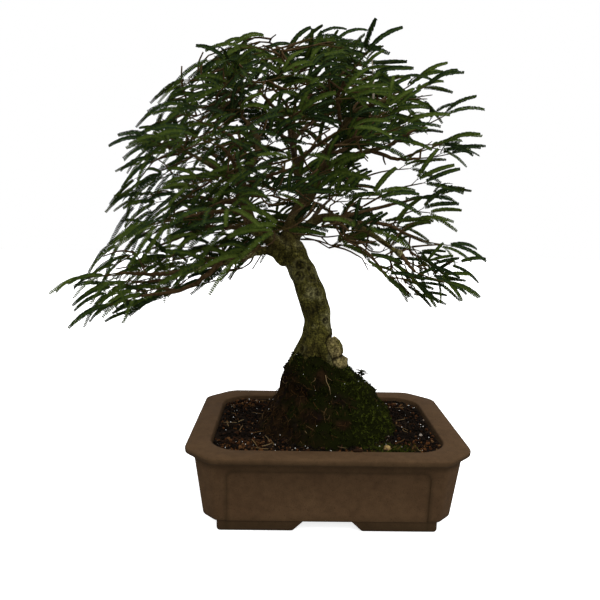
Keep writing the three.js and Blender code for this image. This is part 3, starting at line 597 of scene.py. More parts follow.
def inside_opening(x, y, margin=0.0):
    """The place itself, or where it is pulled back to so that it lies inside the pot's opening."""
    half_x = OPENING[0] / 2 - SOIL_EDGE - margin
    half_y = OPENING[1] / 2 - SOIL_EDGE - margin
    x = max(-half_x, min(half_x, x))
    y = max(-half_y, min(half_y, y))
    over = (abs(x) + abs(y) - half_x - half_y + OPENING[2]) / 2
    if over > 0:
        x -= math.copysign(over, x)
        y -= math.copysign(over, y)
    return x, y


def damp_humus():
    earth = new_finish("damp_humus")
    patches, grain = clay_grain(earth, 45, 420)
    tone = earth.tones(patches, [(0.35, HUMUS["dark"]), (0.68, HUMUS["brown"])])
    tone = earth.mix(earth.tones(grain, [(0.65, 0), (0.68, 1)]), tone, HUMUS["red"])
    return earth.done(tone, 0.92, gloss=0.03, relief=grain, depth=0.8, strength=0.8)


def make_soil():
    cells = {"x_subdivisions": SOIL_CELLS[0], "y_subdivisions": SOIL_CELLS[1]}
    soil = primitive("soil_bed", bpy.ops.mesh.primitive_grid_add, size=1, **cells)
    for point in soil.data.vertices:
        x, y = inside_opening(point.co.x * OPENING[0], point.co.y * OPENING[1])
        point.co = at(x, y, soil_height(x, y))
    bpy.ops.object.mode_set(mode="EDIT")
    bpy.ops.mesh.select_all(action="DESELECT")
    bpy.ops.mesh.select_non_manifold(extend=False)
    bpy.ops.mesh.extrude_edges_move()
    mesh = bmesh.from_edit_mesh(soil.data)
    for point in mesh.verts:
        if point.select:
            inward = (point.co - POT_MIDDLE) * 0.925
            point.co = Vector((inward.x, inward.y, 0)) + at(0, 0, FLOOR_TOP + 2)
    bmesh.update_edit_mesh(soil.data)
    bpy.ops.mesh.fill_holes(sides=0)
    bpy.ops.mesh.select_all(action="SELECT")
    bpy.ops.mesh.remove_doubles(threshold=0.01 * MM)
    bpy.ops.mesh.normals_make_consistent(inside=False)
    bpy.ops.object.mode_set(mode="OBJECT")
    bpy.ops.object.shade_smooth_by_angle(angle=math.radians(60))
    belongs(soil, damp_humus(), "clay_granules", "soil")


make_soil()

# The root mound: an old ball of peat and fine roots that stands high out of the soil and carries the trunk.
# It was planted whole, so it is steep, lumpy and worn, brown and fibrous at the left, and mossy elsewhere.
MOUND_PROFILE = [
    (74, 2, 80, 80, 0),
    (81, 2, 80, 80, 1.5),
    (92, 3, 74, 72, 3.5),
    (104, 3, 68, 64, 4.5),
    (116, 3, 60, 55, 4.5),
    (128, 2, 52, 46, 4),
    (140, -5, 45, 41, 3.5),
    (150, -8, 38.5, 36.5, 3),
    (158, -12, 30, 31.5, 2),
    (165, -14.5, 24.5, 26, 1.5),
    (169, -15.5, 20.5, 20.5, 0.5),
]
MOUND_TOP = {"from": 138, "tilt": 1.5, "highest": 170}
ROOT_RIDGES = [-47, -162, -130, 137, 58]
WORN_SPOTS = [(-59, 125, 11, 8), (-91, 152, 9, 7), (-101, 112, 11, 7), (-70, 104, 8, 6), (-120, 128, 8, 9)]
MOUND_SIDES = 120
MOUND_RINGS = 52
MOUND_NOISE = {"lump": 15.0, "lump_height": 1.3, "crumb": 3.6, "crumb_height": 1.3}
PEAT = {"dark": (0.006, 0.0035, 0.0014), "brown": (0.020, 0.0105, 0.004), "purple": (0.009, 0.0045, 0.0045)}
MOSS_BED = (0.0055, 0.0065, 0.0008)


def between_levels(table, height):
    """The values at a height, worked out from the rows of a table just below and above it."""
    for low, high in zip(table, table[1:]):
        if height <= high[0]:
            break
    share = (height - low[0]) / (high[0] - low[0])
    return [below + (above - below) * share for below, above in zip(low[1:], high[1:])]


def greenness(x, y, z):
    """How mossy the mound is at a place: 0 is bare peat, 1 is fresh moss."""
    turn = math.degrees(math.atan2(y, x + 6))
    patch = 0.5 + 0.75 * noise.noise(Vector((x / 16, y / 16, z / 16)))
    patch += 0.4 * noise.noise(Vector((x / 5, y / 5, z / 5 + 9)))
    fresh = math.exp(-(((turn + 42) / (16 + 0.2 * (160 - z))) ** 2))
    bare = math.exp(-(((abs(turn) - 172) / 36) ** 2)) * min(1, max(0, (162 - z) / 15))
    low_left = math.exp(-(((turn + 128) / 20) ** 2)) * min(1, max(0, (112 - z) / 25))
    worn = 0
    for spot_turn, height, wide, tall in WORN_SPOTS:
        worn = max(worn, math.exp(-(((turn - spot_turn) / wide) ** 2) - ((z - height) / tall) ** 2))
    return max(0, min(1, 0.4 + 0.34 * patch + 0.44 * fresh - 0.5 * bare - 0.35 * low_left - 0.6 * worn))


def set_values(piece, name, values):
    """Stores one number for each point of a piece, which its material reads by name."""
    layer = piece.data.attributes.new(name, "FLOAT", "POINT")
    layer.data.foreach_set("value", values)


def peat_and_moss():
    bed = new_finish("peat_and_moss")
    patches, grain = clay_grain(bed, 70, 500)
    peat = bed.tones(patches, [(0.32, PEAT["purple"]), (0.48, PEAT["dark"]), (0.68, PEAT["brown"])])
    green = bed.tones(bed.stored("green"), [(0.25, 0), (0.6, 1)])
    tone = bed.mix(green, peat, MOSS_BED)
    return bed.done(tone, 0.95, gloss=0.03, relief=grain, depth=1.0, strength=0.9)


def make_mound():
    low, high = MOUND_PROFILE[0][0], MOUND_PROFILE[-1][0]
    rings = []
    for level in range(MOUND_RINGS + 1):
        height = low + (high - low) * level / MOUND_RINGS
        middle, wide, deep, lump = between_levels(MOUND_PROFILE, height)
        ring = []
        for step in range(MOUND_SIDES):
            turn = 2 * math.pi * step / MOUND_SIDES
            across, back = math.cos(turn), math.sin(turn)
            place = Vector((across * 60, back * 60, height))
            bulge = lump * noise.noise(place / MOUND_NOISE["lump"]) * MOUND_NOISE["lump_height"]
            bulge += MOUND_NOISE["crumb_height"] * noise.noise(place / MOUND_NOISE["crumb"])
            over_root = max(math.cos(turn - math.radians(ridge)) for ridge in ROOT_RIDGES)
            bulge += 1.8 * max(0, over_root) ** 24 * max(0, 1 - abs(height - 147) / 22)
            raised = max(0, height - MOUND_TOP["from"]) / (high - MOUND_TOP["from"])
            lift = raised * MOUND_TOP["tilt"] * math.cos(turn - math.radians(MOUND_TOP["highest"]))
            ring.append(at(middle + (wide + bulge) * across, (deep + bulge) * back, height + lift))
        rings.append(ring)
    mound = draw_up("root_mound", rings)
    bpy.ops.object.shade_smooth_by_angle(angle=math.radians(70))
    places = [(point.co - POT_MIDDLE) / MM for point in mound.data.vertices]
    set_values(mound, "green", [greenness(*place) for place in places])
    belongs(mound, peat_and_moss(), "moss", "moss_mound")
    return mound


mound = make_mound()

# The moss: thousands of short green shoots in tufts, thick and bright on the right front of the mound and on
# the soil below it, darker round the rest, and thin on the bare peat at the left.
MOSS_TUFTS = 6600
MOSS_BLADES = 5
MOSS_BLADE = {"long": 3.0, "radius": 0.42}
MOSS_PATCH = {"middle": (66, -78), "wide": 34, "deep": 13, "tufts": 520}
MOSS = {"deep": (0.007, 0.009, 0.001), "mid": (0.021, 0.026, 0.003), "fresh": (0.080, 0.100, 0.012)}


def measured(places):
    """Many places in metres, as millimetres from the middle of the pot."""
    return (places - np.array(POT_MIDDLE)) / MM


def placed(places):
    """Many places in millimetres from the middle of the pot, as metres in the frame."""
    return np.array(POT_MIDDLE) + places * MM


def ordered_triangles(mesh):
    """The corners of a mesh's triangles, by their places, so that their order is the same each run."""
    found = []
    for face in mesh.polygons:
        corners = [tuple(mesh.vertices[number].co) for number in face.vertices]
        lowest = corners.index(min(corners))
        corners = corners[lowest:] + corners[:lowest]
        found += [(corners[0], here, after) for here, after in zip(corners[1:], corners[2:])]
    return np.array(sorted(found))


def surface_samples(piece, count, seed):
    """Places spread evenly over a piece, with the way out of the surface at each, in metres."""
    corners = ordered_triangles(piece.data)
    across = np.cross(corners[:, 1] - corners[:, 0], corners[:, 2] - corners[:, 0])
    size = np.linalg.norm(across, axis=1)
    draws = np.random.default_rng(seed)
    chosen = draws.choice(len(size), count, p=size / size.sum())
    first, second = draws.random((2, count, 1))
    turned = first + second > 1
    first = np.where(turned, 1 - first, first)
    second = np.where(turned, 1 - second, second)
    base = corners[chosen]
    places = base[:, 0] + first * (base[:, 1] - base[:, 0]) + second * (base[:, 2] - base[:, 0])
    return places, across[chosen] / np.maximum(size[chosen], 1e-12)[:, None]


def unit(vectors):
    return vectors / np.maximum(np.linalg.norm(vectors, axis=-1, keepdims=True), 1e-12)


def crosswise(ways):
    """Two directions square to each way, and to each other."""
    helper = np.where(np.abs(ways[..., 2:3]) < 0.9, [[0, 0, 1.0]], [[1.0, 0, 0]])
    first = unit(np.cross(ways, helper))
    return first, np.cross(ways, first)


def mesh_piece(name, points, faces, smooth=True):
    """A new piece from points in metres and triangles."""
    mesh = bpy.data.meshes.new(name)
    mesh.from_pydata(points.tolist(), [], faces.tolist())
    mesh.polygons.foreach_set("use_smooth", [smooth] * len(mesh.polygons))
    mesh.update()
    piece = bpy.data.objects.new(name, mesh)
    bpy.context.scene.collection.objects.link(piece)
    return piece


def spikes(places, ways, lengths, radii):
    """Closed three-sided spikes: points and triangles."""
    first, second = crosswise(ways)
    corners = []
    for step in range(3):
        turn = 2 * math.pi * step / 3
        corners.append(places + radii[:, None] * (math.cos(turn) * first + math.sin(turn) * second))
    corners.append(places + ways * lengths[:, None])
    points = np.stack(corners, axis=1).reshape(-1, 3)
    one = np.array([[0, 2, 1], [0, 1, 3], [1, 2, 3], [2, 0, 3]])
    faces = (one[None] + 4 * np.arange(len(places))[:, None, None]).reshape(-1, 3)
    return points, faces


def moss_green():
    shoots = new_finish("moss_shoots")
    stops = [(0.15, MOSS["deep"]), (0.5, MOSS["mid"]), (0.95, MOSS["fresh"])]
    tone = shoots.tones(shoots.stored("fresh"), stops)
    tone = shoots.shade(tone, shoots.cloud(190, 3), [(0.38, 0.2), (0.62, 1)])
    return shoots.done(tone, 0.8, gloss=0.03)


def make_moss():
    draws = np.random.default_rng(17)
    places, ways = surface_samples(mound, MOSS_TUFTS, 5)
    local = measured(places)
    green = np.array([greenness(*place) for place in local])
    keep = (draws.random(MOSS_TUFTS) < green * 1.5 - 0.18) & (ways[:, 2] > -0.2)
    keep &= local[:, 2] > SOIL_LEVEL - 3
    places, ways, green = places[keep], ways[keep], green[keep]
    extra = MOSS_PATCH["tufts"]
    spot_x = MOSS_PATCH["middle"][0] + MOSS_PATCH["wide"] * draws.normal(0, 0.42, extra)
    spot_y = MOSS_PATCH["middle"][1] + MOSS_PATCH["deep"] * draws.normal(0, 0.5, extra)
    patch = []
    for x, y in zip(spot_x, spot_y):
        x, y = inside_opening(x, y, 2)
        patch.append(at(x, y, soil_height(x, y) + 0.6))
    places = np.concatenate([places, np.array(patch)])
    ways = np.concatenate([ways, np.tile([0, 0, 1.0], (extra, 1))])
    green = np.concatenate([green, draws.uniform(0.6, 1.0, extra)])
    count = len(places) * MOSS_BLADES
    places = np.repeat(places, MOSS_BLADES, axis=0) + draws.normal(0, 0.55 * MM, (count, 3))
    ways = unit(np.repeat(ways, MOSS_BLADES, axis=0) + draws.normal(0, 0.55, (count, 3)) + [0, 0, 0.25])
    green = np.repeat(green, MOSS_BLADES)
    lengths = MOSS_BLADE["long"] * MM * (0.45 + 0.5 * green + 0.5 * draws.random(count))
    radii = MOSS_BLADE["radius"] * MM * (0.7 + 0.5 * draws.random(count))
    points, faces = spikes(places - ways * 0.5 * MM, ways, lengths, radii)
    moss = mesh_piece("moss", points, faces, smooth=False)
    fresh = np.clip(green * 0.9 - 0.1 + draws.normal(0, 0.22, count), 0, 1)
    set_values(moss, "fresh", np.repeat(fresh, 4))
    belongs(moss, moss_green(), "moss")


make_moss()

# Fine roots and fibres: thin brown threads that lie on the peat of the mound, most at its bare left front,
# with a few pale ones, and one stouter pale root on the front.
FIBRES = 1300
FIBRE_STEPS = 6
FIBRE_TONES = [(0.0, (0.012, 0.0065, 0.0025)), (0.5, (0.075, 0.037, 0.011)), (1.0, (0.22, 0.16, 0.08))]
PALE_ROOT = [(-2, -37, 152), (-1, -43, 146), (2, -46, 141), (3, -50, 134)]


def strands(lines, radii, sides):
    """Closed tapering tubes along many lines at once: lines is count x steps x 3, radii is count x steps."""
    count, steps, _ = lines.shape
    along = unit(np.gradient(lines, axis=1))
    lift, _ = crosswise(along[:, 0])
    rings = []
    for step in range(steps):
        way = along[:, step]
        lift = unit(lift - way * (lift * way).sum(1, keepdims=True))
        across = np.cross(way, lift)
        for side in range(sides):
            turn = 2 * math.pi * side / sides
            out = math.cos(turn) * lift + math.sin(turn) * across
            rings.append(lines[:, step] + radii[:, step, None] * out)
    points = np.stack(rings, axis=1).reshape(-1, 3)
    one = []
    for step in range(steps - 1):
        for side in range(sides):
            here = step * sides + side
            beside = step * sides + (side + 1) % sides
            one += [(here, beside, beside + sides), (here, beside + sides, here + sides)]
    last = (steps - 1) * sides
    for side in range(1, sides - 1):
        one += [(0, side + 1, side), (last, last + side, last + side + 1)]
    one = np.array(one)
    faces = (one[None] + steps * sides * np.arange(count)[:, None, None]).reshape(-1, 3)
    return points, faces


def gathered(parts):
    """Several sets of points and triangles as one set."""
    points, faces, first = [], [], 0
    for some_points, some_faces in parts:
        points.append(some_points)
        faces.append(some_faces + first)
        first += len(some_points)
    return np.concatenate(points), np.concatenate(faces)


def root_fibre():
    thread = new_finish("root_fibre")
    return thread.done(thread.tones(thread.stored("pale"), FIBRE_TONES), 0.75, gloss=0.05)


dry_fibre = root_fibre()


def make_fibres():
    draws = np.random.default_rng(29)
    places, ways = surface_samples(mound, FIBRES * 5, 31)
    local = measured(places)
    green = np.array([greenness(*place) for place in local])
    wanted = (draws.random(len(green)) < (0.72 - green) * 1.3) & (local[:, 2] > SOIL_LEVEL)
    places, ways = places[wanted][:FIBRES], ways[wanted][:FIBRES]
    count = len(places)
    down = unit(np.array([0, 0, -1.0]) - ways * -ways[:, 2:3])
    side = np.cross(ways, down)
    heading = unit(down * draws.normal(0.8, 0.7, (count, 1)) + side * draws.normal(0, 0.7, (count, 1)))
    length = draws.uniform(3, 9, (count, 1)) * MM
    bend = draws.normal(0, 0.5, (count, 1))
    lines = []
    for step in range(FIBRE_STEPS):
        share = step / (FIBRE_STEPS - 1)
        arch = math.sin(math.pi * share) * 0.9 * MM - 0.25 * MM
        curl = side * bend * length * share**2
        lines.append(places + heading * length * share + ways * arch + curl)
    lines = np.stack(lines, axis=1)
    radii = draws.uniform(0.12, 0.3, (count, 1)) * MM * np.ones((1, FIBRE_STEPS))
    threads = strands(lines, radii, 3)
    pale = np.repeat(np.clip(draws.beta(1.3, 3.4, count), 0, 1), FIBRE_STEPS * 3)
    root = np.array([at(*place) for place in PALE_ROOT])[None]
    root = strands(root, np.array([[0.5, 0.45, 0.35, 0.2]]) * MM, 6)
    fibres = mesh_piece("root_fibres", *gathered([threads, root]))
    set_values(fibres, "pale", np.concatenate([pale, np.full(len(root[0]), 0.85)]))
    belongs(fibres, dry_fibre, "moss")


make_fibres()

# The loose top of the soil: crushed red clay grains in the corners and along the front, dark humus crumbs and
# bark chips between them, white perlite specks, a few dry sticks, one yellow pebble and a chip on the rim.
GRAINS = {"small": 1900, "large": 430}
CHIPS = 420
PERLITE = 100
STICKS = 34
CLAY_SPOTS = [(-84, -70, 30, 20), (102, -76, 20, 16), (-98, 74, 26, 14), (84, 74, 34, 9), (0, -89, 110, 4)]
PEBBLE = {"place": (62, -81, 85.5), "size": (3.9, 3.4, 3.6)}
RIM_CHIP = {"place": (29.5, -93, 88.2), "size": (5.5, 3.2, 1.6)}
GRAIN_COLOURS = [
    (0.0, (0.0035, 0.0024, 0.0016)),
    (0.3, (0.009, 0.0058, 0.0036)),
    (0.45, (0.024, 0.011, 0.005)),
    (0.6, (0.045, 0.017, 0.006)),
    (0.8, (0.10, 0.040, 0.012)),
    (0.93, (0.15, 0.08, 0.032)),
    (0.95, (0.6, 0.59, 0.56)),
    (1.0, (0.9, 0.89, 0.86)),
]


def rough_lumps(name, fineness, places, sizes, seed, squash=0.35):
    """Crushed grains: one rough ball copied to every place, each stretched, turned and dented its own way."""
    round_one = {"subdivisions": fineness, "radius": 1, "location": (0, 0, 0)}
    ball = primitive(name, bpy.ops.mesh.primitive_ico_sphere_add, **round_one)
    shape = np.array([point.co for point in ball.data.vertices])
    corners = np.array([face.vertices for face in ball.data.polygons])
    bpy.data.objects.remove(ball)
    draws = np.random.default_rng(seed)
    count = len(places)
    stretch = 1 - squash * draws.random((count, 1, 3))
    dent = 1 + draws.normal(0, 0.11, (count, len(shape), 1))
    turns = draws.normal(0, 1, (count, 4))
    w, x, y, z = unit(turns).T
    turn = np.stack([
        np.stack([1 - 2 * (y * y + z * z), 2 * (x * y - z * w), 2 * (x * z + y * w)], axis=1),
        np.stack([2 * (x * y + z * w), 1 - 2 * (x * x + z * z), 2 * (y * z - x * w)], axis=1),
        np.stack([2 * (x * z - y * w), 2 * (y * z + x * w), 1 - 2 * (x * x + y * y)], axis=1),
    ], axis=1)
    lumps = np.einsum("nij,nkj->nki", turn, shape[None] * dent * stretch)
    points = (places[:, None] + lumps * sizes[:, None, None]).reshape(-1, 3)
    faces = (corners[None] + len(shape) * np.arange(count)[:, None, None]).reshape(-1, 3)
    return mesh_piece(name, points, faces, smooth=False), len(shape)


def grain_clay():
    grain = new_finish("loose_grains")
    crumb = grain.cloud(1100, 3)
    tone = grain.shade(grain.tones(grain.stored("kind"), GRAIN_COLOURS), crumb, [(0.3, 0.5), (0.65, 1)])
    return grain.done(tone, 0.85, gloss=0.04, relief=crumb, depth=0.4, strength=0.7)


loose_grain = grain_clay()


def clay_share(x, y):
    """How much of the loose top is red clay at a place."""
    share = 0.12
    for middle_x, middle_y, wide, deep in CLAY_SPOTS:
        share += math.exp(-(((x - middle_x) / wide) ** 2 + ((y - middle_y) / deep) ** 2))
    return min(1, share)


def loose_places(count, draws, margin):
    """Random places on the soil between the pot's wall and the mound."""
    places = []
    while len(places) < count:
        x = draws.uniform(-OPENING[0] / 2, OPENING[0] / 2)
        y = draws.uniform(-OPENING[1] / 2, OPENING[1] / 2)
        if inside_opening(x, y, margin) != (x, y) or math.hypot(x - 2, y) < 77:
            continue
        places.append((x, y, soil_height(x, y)))
    return np.array(places)


def make_grains():
    for name, fineness, low, high, seed in (("small", 1, 0.9, 2.0, 41), ("large", 2, 1.7, 3.1, 43)):
        draws = np.random.default_rng(seed)
        places = loose_places(GRAINS[name], draws, high * 0.8)
        sizes = draws.uniform(low, high, len(places))
        red = np.array([clay_share(x, y) for x, y, _ in places])
        if name == "large":
            sizes *= 0.75 + 0.25 * red
        is_clay = draws.random(len(places)) < red
        kind = np.where(is_clay, draws.uniform(0.45, 0.94, len(places)), draws.uniform(0, 0.4, len(places)))
        places[:, 2] += sizes * 0.35
        grains, each = rough_lumps(name + "_grains", fineness, placed(places), sizes * MM, seed + 1)
        set_values(grains, "kind", np.repeat(kind, each))
        belongs(grains, loose_grain, "clay_granules")
    draws = np.random.default_rng(47)
    places = loose_places(PERLITE, draws, 2)
    sizes = draws.uniform(0.35, 0.9, len(places))
    places[:, 2] += 1.6
    on_mound, ways = surface_samples(mound, PERLITE // 2, 49)
    world = np.concatenate([placed(places), on_mound + ways * 0.7 * MM])
    sizes = np.concatenate([sizes, draws.uniform(0.4, 0.8, len(on_mound))])
    perlite, each = rough_lumps("perlite", 1, world, sizes * MM, 51)
    set_values(perlite, "kind", np.repeat(draws.uniform(0.95, 1.0, len(world)), each))
    belongs(perlite, loose_grain, "clay_granules")


def make_chips():
    draws = np.random.default_rng(53)
    places = loose_places(CHIPS, draws, 4)
    places[:, 2] += 1.5
    count = len(places)
    ways = unit(draws.normal(0, 1, (count, 3)) * [1, 1, 0.22])
    half = ways * draws.uniform(1.8, 5.0, (count, 1))
    lines = np.stack([places - half, places, places + half], axis=1)
    lines[:, 1, 2] += draws.uniform(0, 0.8, count)
    radii = draws.uniform(0.5, 1.15, (count, 1)) * np.array([[0.55, 1, 0.4]])
    chips = mesh_piece("bark_chips", *strands(placed(lines), radii * MM, 4), smooth=False)
    kind = np.where(draws.random(count) < 0.8, draws.uniform(0, 0.33, count), draws.uniform(0.4, 0.55, count))
    set_values(chips, "kind", np.repeat(kind, 12))
    belongs(chips, loose_grain, "clay_granules")


def make_sticks():
    draws = np.random.default_rng(59)
    places = loose_places(STICKS, draws, 8)
    places[:, 2] += 2.6
    ways = unit(draws.normal(0, 1, (STICKS, 3)) * [1, 1, 0.08])
    half = ways * draws.uniform(4, 11, (STICKS, 1))
    sag = draws.normal(0, 0.9, (STICKS, 3)) * [1, 1, 0.3]
    lines = np.stack([places - half, places - half / 3 + sag, places + half / 3 + sag, places + half], axis=1)
    radii = draws.uniform(0.3, 0.6, (STICKS, 1)) * np.array([[1, 0.95, 0.8, 0.6]])
    sticks = mesh_piece("dry_sticks", *strands(placed(lines), radii * MM, 5))
    set_values(sticks, "pale", np.repeat(draws.uniform(0.45, 0.9, STICKS), 20))
    belongs(sticks, dry_fibre, "clay_granules")


def yellow_stone():
    stone = new_finish("yellow_pebble")
    tone = stone.tones(stone.cloud(300), [(0.35, (0.1, 0.055, 0.02)), (0.6, (0.3, 0.2, 0.065))])
    return stone.done(tone, 0.7, gloss=0.3)


def make_pebble_and_chip():
    for name, facts, kind, seed, finish in (
        ("yellow_pebble", PEBBLE, 0.945, 61, yellow_stone()),
        ("rim_chip", RIM_CHIP, 0.42, 67, loose_grain),
    ):
        middle = at(*facts["place"])
        stone, each = rough_lumps(name, 3, np.array([middle]), np.array([MM]), seed, squash=0)
        for point in stone.data.vertices:
            out = point.co - middle
            dent = 1 + 0.18 * noise.noise(out / MM * 0.9 + Vector((seed, 0, 0)))
            point.co = middle + Vector(reach * size * dent for reach, size in zip(out, facts["size"]))
        stone.data.polygons.foreach_set("use_smooth", [True] * len(stone.data.polygons))
        set_values(stone, "kind", [kind] * each)
        belongs(stone, finish, "clay_granules")


make_grains()
make_chips()
make_sticks()
make_pebble_and_chip()

# The wood: trunk, surface roots and stout limbs, grown as one. The bark is thin, smooth and olive brown,
# with shallow ridges that run up it, raised rings where branches were cut off, and a paler burl low at the
# right.
TRUNK = [
    (45, -12, 0, 16),
    (120, -13, 0, 22),
    (150, -15, 0, 25),
    (161, -16, 0, 22.5),
    (172, -16, 0, 19.5),
    (184, -12, 0, 18),
    (196, -11, 0, 16.6),
    (208, -11, 0, 15.4),
    (220, -13, 0, 16.2),
    (236, -18, 0, 15.6),
    (252, -24, 1, 14.8),
    (266, -31, 3, 15),
    (279, -38, 4, 15.4),
    (292, -45, 5, 13.6),
    (302, -50, 6, 9),
]
ROOTS = [
    [(-6, -13, 180), (2, -19, 166), (11, -21, 154)],
    [(-24, -6, 174), (-35, -9, 160), (-40, -12, 149)],
    [(-20, -12, 172), (-24, -22, 158), (-27, -28, 147)],
    [(-22, 11, 174), (-28, 21, 160), (-32, 27, 149)],
    [(-4, 12, 176), (3, 21, 161), (9, 26, 149)],
]
ROOT_RADII = (6.5, 4)
BURL = [((9.5, -11, 174), (10, 9.5, 15.5)), ((13.5, -12, 161), (11.5, 10, 10))]
SCARS = [
    (271, 276, 5.6),
    (259, 250, 5.6),
    (257, 303, 4.6),
    (267, 305, 2.4),
    (241, 302, 4.4),
    (230, 309, 3.2),
    (209, 308, 4.2),
    (193, 342, 3.6),
    (176, 224, 4.6),
    (232, 60, 5.5),
]
LIMBS = [
    ([(-47, 6, 290), (-41, 10, 318), (-21, 15, 353), (-7, 18, 391), (4, 15, 408)], (10, 5), [], True),
    ([(-46, 5, 288), (-69, -4, 302), (-86, -15, 314), (-95, -28, 350), (-98, -32, 366)], (9, 5), [], True),
    ([(-97, -31, 362), (-80, -10, 400), (-96, 14, 430), (-114, 20, 442)], (5, 1.5), [0.55], False),
    ([(-96, -30, 360), (-124, -54, 374), (-150, -66, 388)], (4.5, 1.4), [0.6], False),
    ([(-86, -24, 380), (-104, -64, 402), (-118, -80, 410)], (3, 1.3), [], False),
    ([(-93, -24, 338), (-139, 8, 342), (-184, 24, 348)], (3.4, 1.3), [], False),
    ([(-91, -20, 328), (-122, -62, 328), (-150, -82, 322)], (3, 1.3), [], False),
    ([(-77, -9, 308), (-138, 32, 310), (-212, 60, 282)], (3.4, 1.3), [0.55], False),
    ([(-96, -28, 351), (-124, 46, 386), (-148, 80, 404)], (3.2, 1.3), [0.55], False),
    ([(-48, 3, 272), (-68, -8, 286), (-99, -30, 280), (-155, -46, 265)], (6.5, 3), [], True),
    ([(-155, -46, 265), (-190, -50, 262), (-222, -50, 263)], (3, 1.3), [0.5], False),
    ([(-116, -38, 275), (-150, -64, 250), (-194, -74, 242)], (3.2, 1.3), [0.6], False),
    ([(-155, -46, 265), (-182, -20, 253), (-220, 8, 246)], (2.4, 1.3), [], False),
    ([(-99, -30, 280), (-148, 44, 284), (-200, 84, 270)], (3, 1.3), [0.6], False),
    ([(-42, 4, 300), (-8, -11, 324), (23, -26, 319), (74, -50, 287)], (6, 2.6), [], True),
    ([(74, -50, 287), (80, -53, 278), (88, -56, 270)], (2.6, 1.3), [], False),
    ([(23, -26, 319), (60, -10, 318), (106, 6, 300)], (2.8, 1.3), [0.55], False),
    ([(9, -18, 324), (58, 32, 336), (106, 52, 348)], (3, 1.3), [0.5], False),
    ([(-8, -11, 324), (6, -70, 318), (12, -102, 313)], (2.8, 1.3), [], False),
    ([(-24, -4, 317), (-8, 56, 334), (10, 100, 350)], (2.8, 1.3), [], False),
    ([(-12, 18, 376), (8, 4, 388), (58, -30, 400)], (4.6, 2.4), [], True),
    ([(42, -22, 396), (72, -18, 388), (96, -14, 390)], (2.4, 1.3), [0.5], False),
    ([(58, -30, 400), (70, -42, 408), (80, -50, 414)], (2.4, 1.3), [], False),
    ([(-7, 18, 391), (41, 66, 414), (84, 92, 424)], (3, 1.3), [0.55], False),
    ([(4, 15, 406), (21, 2, 436), (44, -14, 446), (66, -24, 450)], (5, 1.4), [0.7], False),
    ([(20, 4, 434), (26, 22, 448), (36, 40, 460)], (2.4, 1.3), [], False),
    ([(12, 10, 420), (4, -34, 446), (8, -56, 462)], (2.6, 1.3), [], False),
    ([(20, 4, 434), (50, 26, 438), (78, 38, 442)], (2.4, 1.3), [], False),
    ([(-28, 13, 343), (-40, 12, 388), (-42, 4, 430), (-40, -3, 460)], (5.5, 1.4), [], False),
    ([(-43, 7, 416), (-66, -36, 440), (-84, -62, 456)], (2.6, 1.3), [], False),
    ([(-41, 2, 438), (-30, 22, 454), (-15, 42, 466)], (2.2, 1.3), [], False),
    ([(-42, 4, 430), (-54, 14, 452), (-68, 28, 470)], (2, 1.3), [], False),
    ([(-41, 9, 404), (-64, 54, 424), (-86, 86, 436)], (3, 1.3), [0.55], False),
    ([(-41, 10, 394), (-45, -64, 404), (-48, -100, 410)], (2.8, 1.3), [], False),
    ([(-39, 12, 384), (-22, -66, 394), (-8, -102, 400)], (2.6, 1.3), [], False),
    ([(-42, 8, 410), (-18, 64, 438), (8, 100, 456)], (2.8, 1.3), [], False),
    ([(-85, -14, 313), (-90, -72, 324), (-95, -106, 330)], (2.8, 1.3), [], False),
    ([(-69, -4, 302), (-94, 62, 326), (-114, 100, 344)], (2.8, 1.3), [0.6], False),
    ([(-98, -32, 362), (-101, -80, 378), (-108, -112, 388)], (2.6, 1.3), [], False),
    ([(3, 15, 402), (22, -54, 405), (36, -94, 404)], (2.6, 1.3), [], False),
    ([(-96, -30, 352), (-66, -78, 364), (-48, -110, 368)], (2.6, 1.3), [], False),
]
STOUT_LIMB = 4.2
WOOD_CELL = 1.05
BARK = {
    "shade": (0.064, 0.054, 0.012),
    "olive": (0.096, 0.086, 0.017),
    "pale": (0.205, 0.188, 0.078),
    "burl": (0.37, 0.295, 0.125),
    # The sunk colour is painted shade in the burl's creases and round its edge, and it also darkens the cut
    # scars.
    "sunk": (0.007, 0.005, 0.0018),
    "limb": (0.042, 0.026, 0.011),
}
CROWN_STARTS = (0.285, 0.33)


def smooth_line(points, shares):
    """Places on a smooth line through the points, at shares of its length counted from point to point."""
    points = [np.array(point, dtype=float) for point in points]
    points = [2 * points[0] - points[1]] + points + [2 * points[-1] - points[-2]]
    last = len(points) - 4
    places = []
    for share in shares:
        spot = min(max(share, 0), 1) * (last + 1)
        start = min(int(spot), last)
        step = spot - start
        before, low, high, after = points[start:start + 4]
        steps = (low - before, high - low, after - high)
        gaps = [math.sqrt(np.linalg.norm(gap)) for gap in steps]
        leave = (low - before) / gaps[0] - (high - before) / (gaps[0] + gaps[1]) + (high - low) / gaps[1]
        arrive = (high - low) / gaps[1] - (after - low) / (gaps[1] + gaps[2]) + (after - high) / gaps[2]
        leave, arrive = leave * gaps[1], arrive * gaps[1]
        bend = -3 * low + 3 * high - 2 * leave - arrive
        twist = 2 * low - 2 * high + leave + arrive
        places.append(low + leave * step + bend * step**2 + twist * step**3)
    return np.array(places)


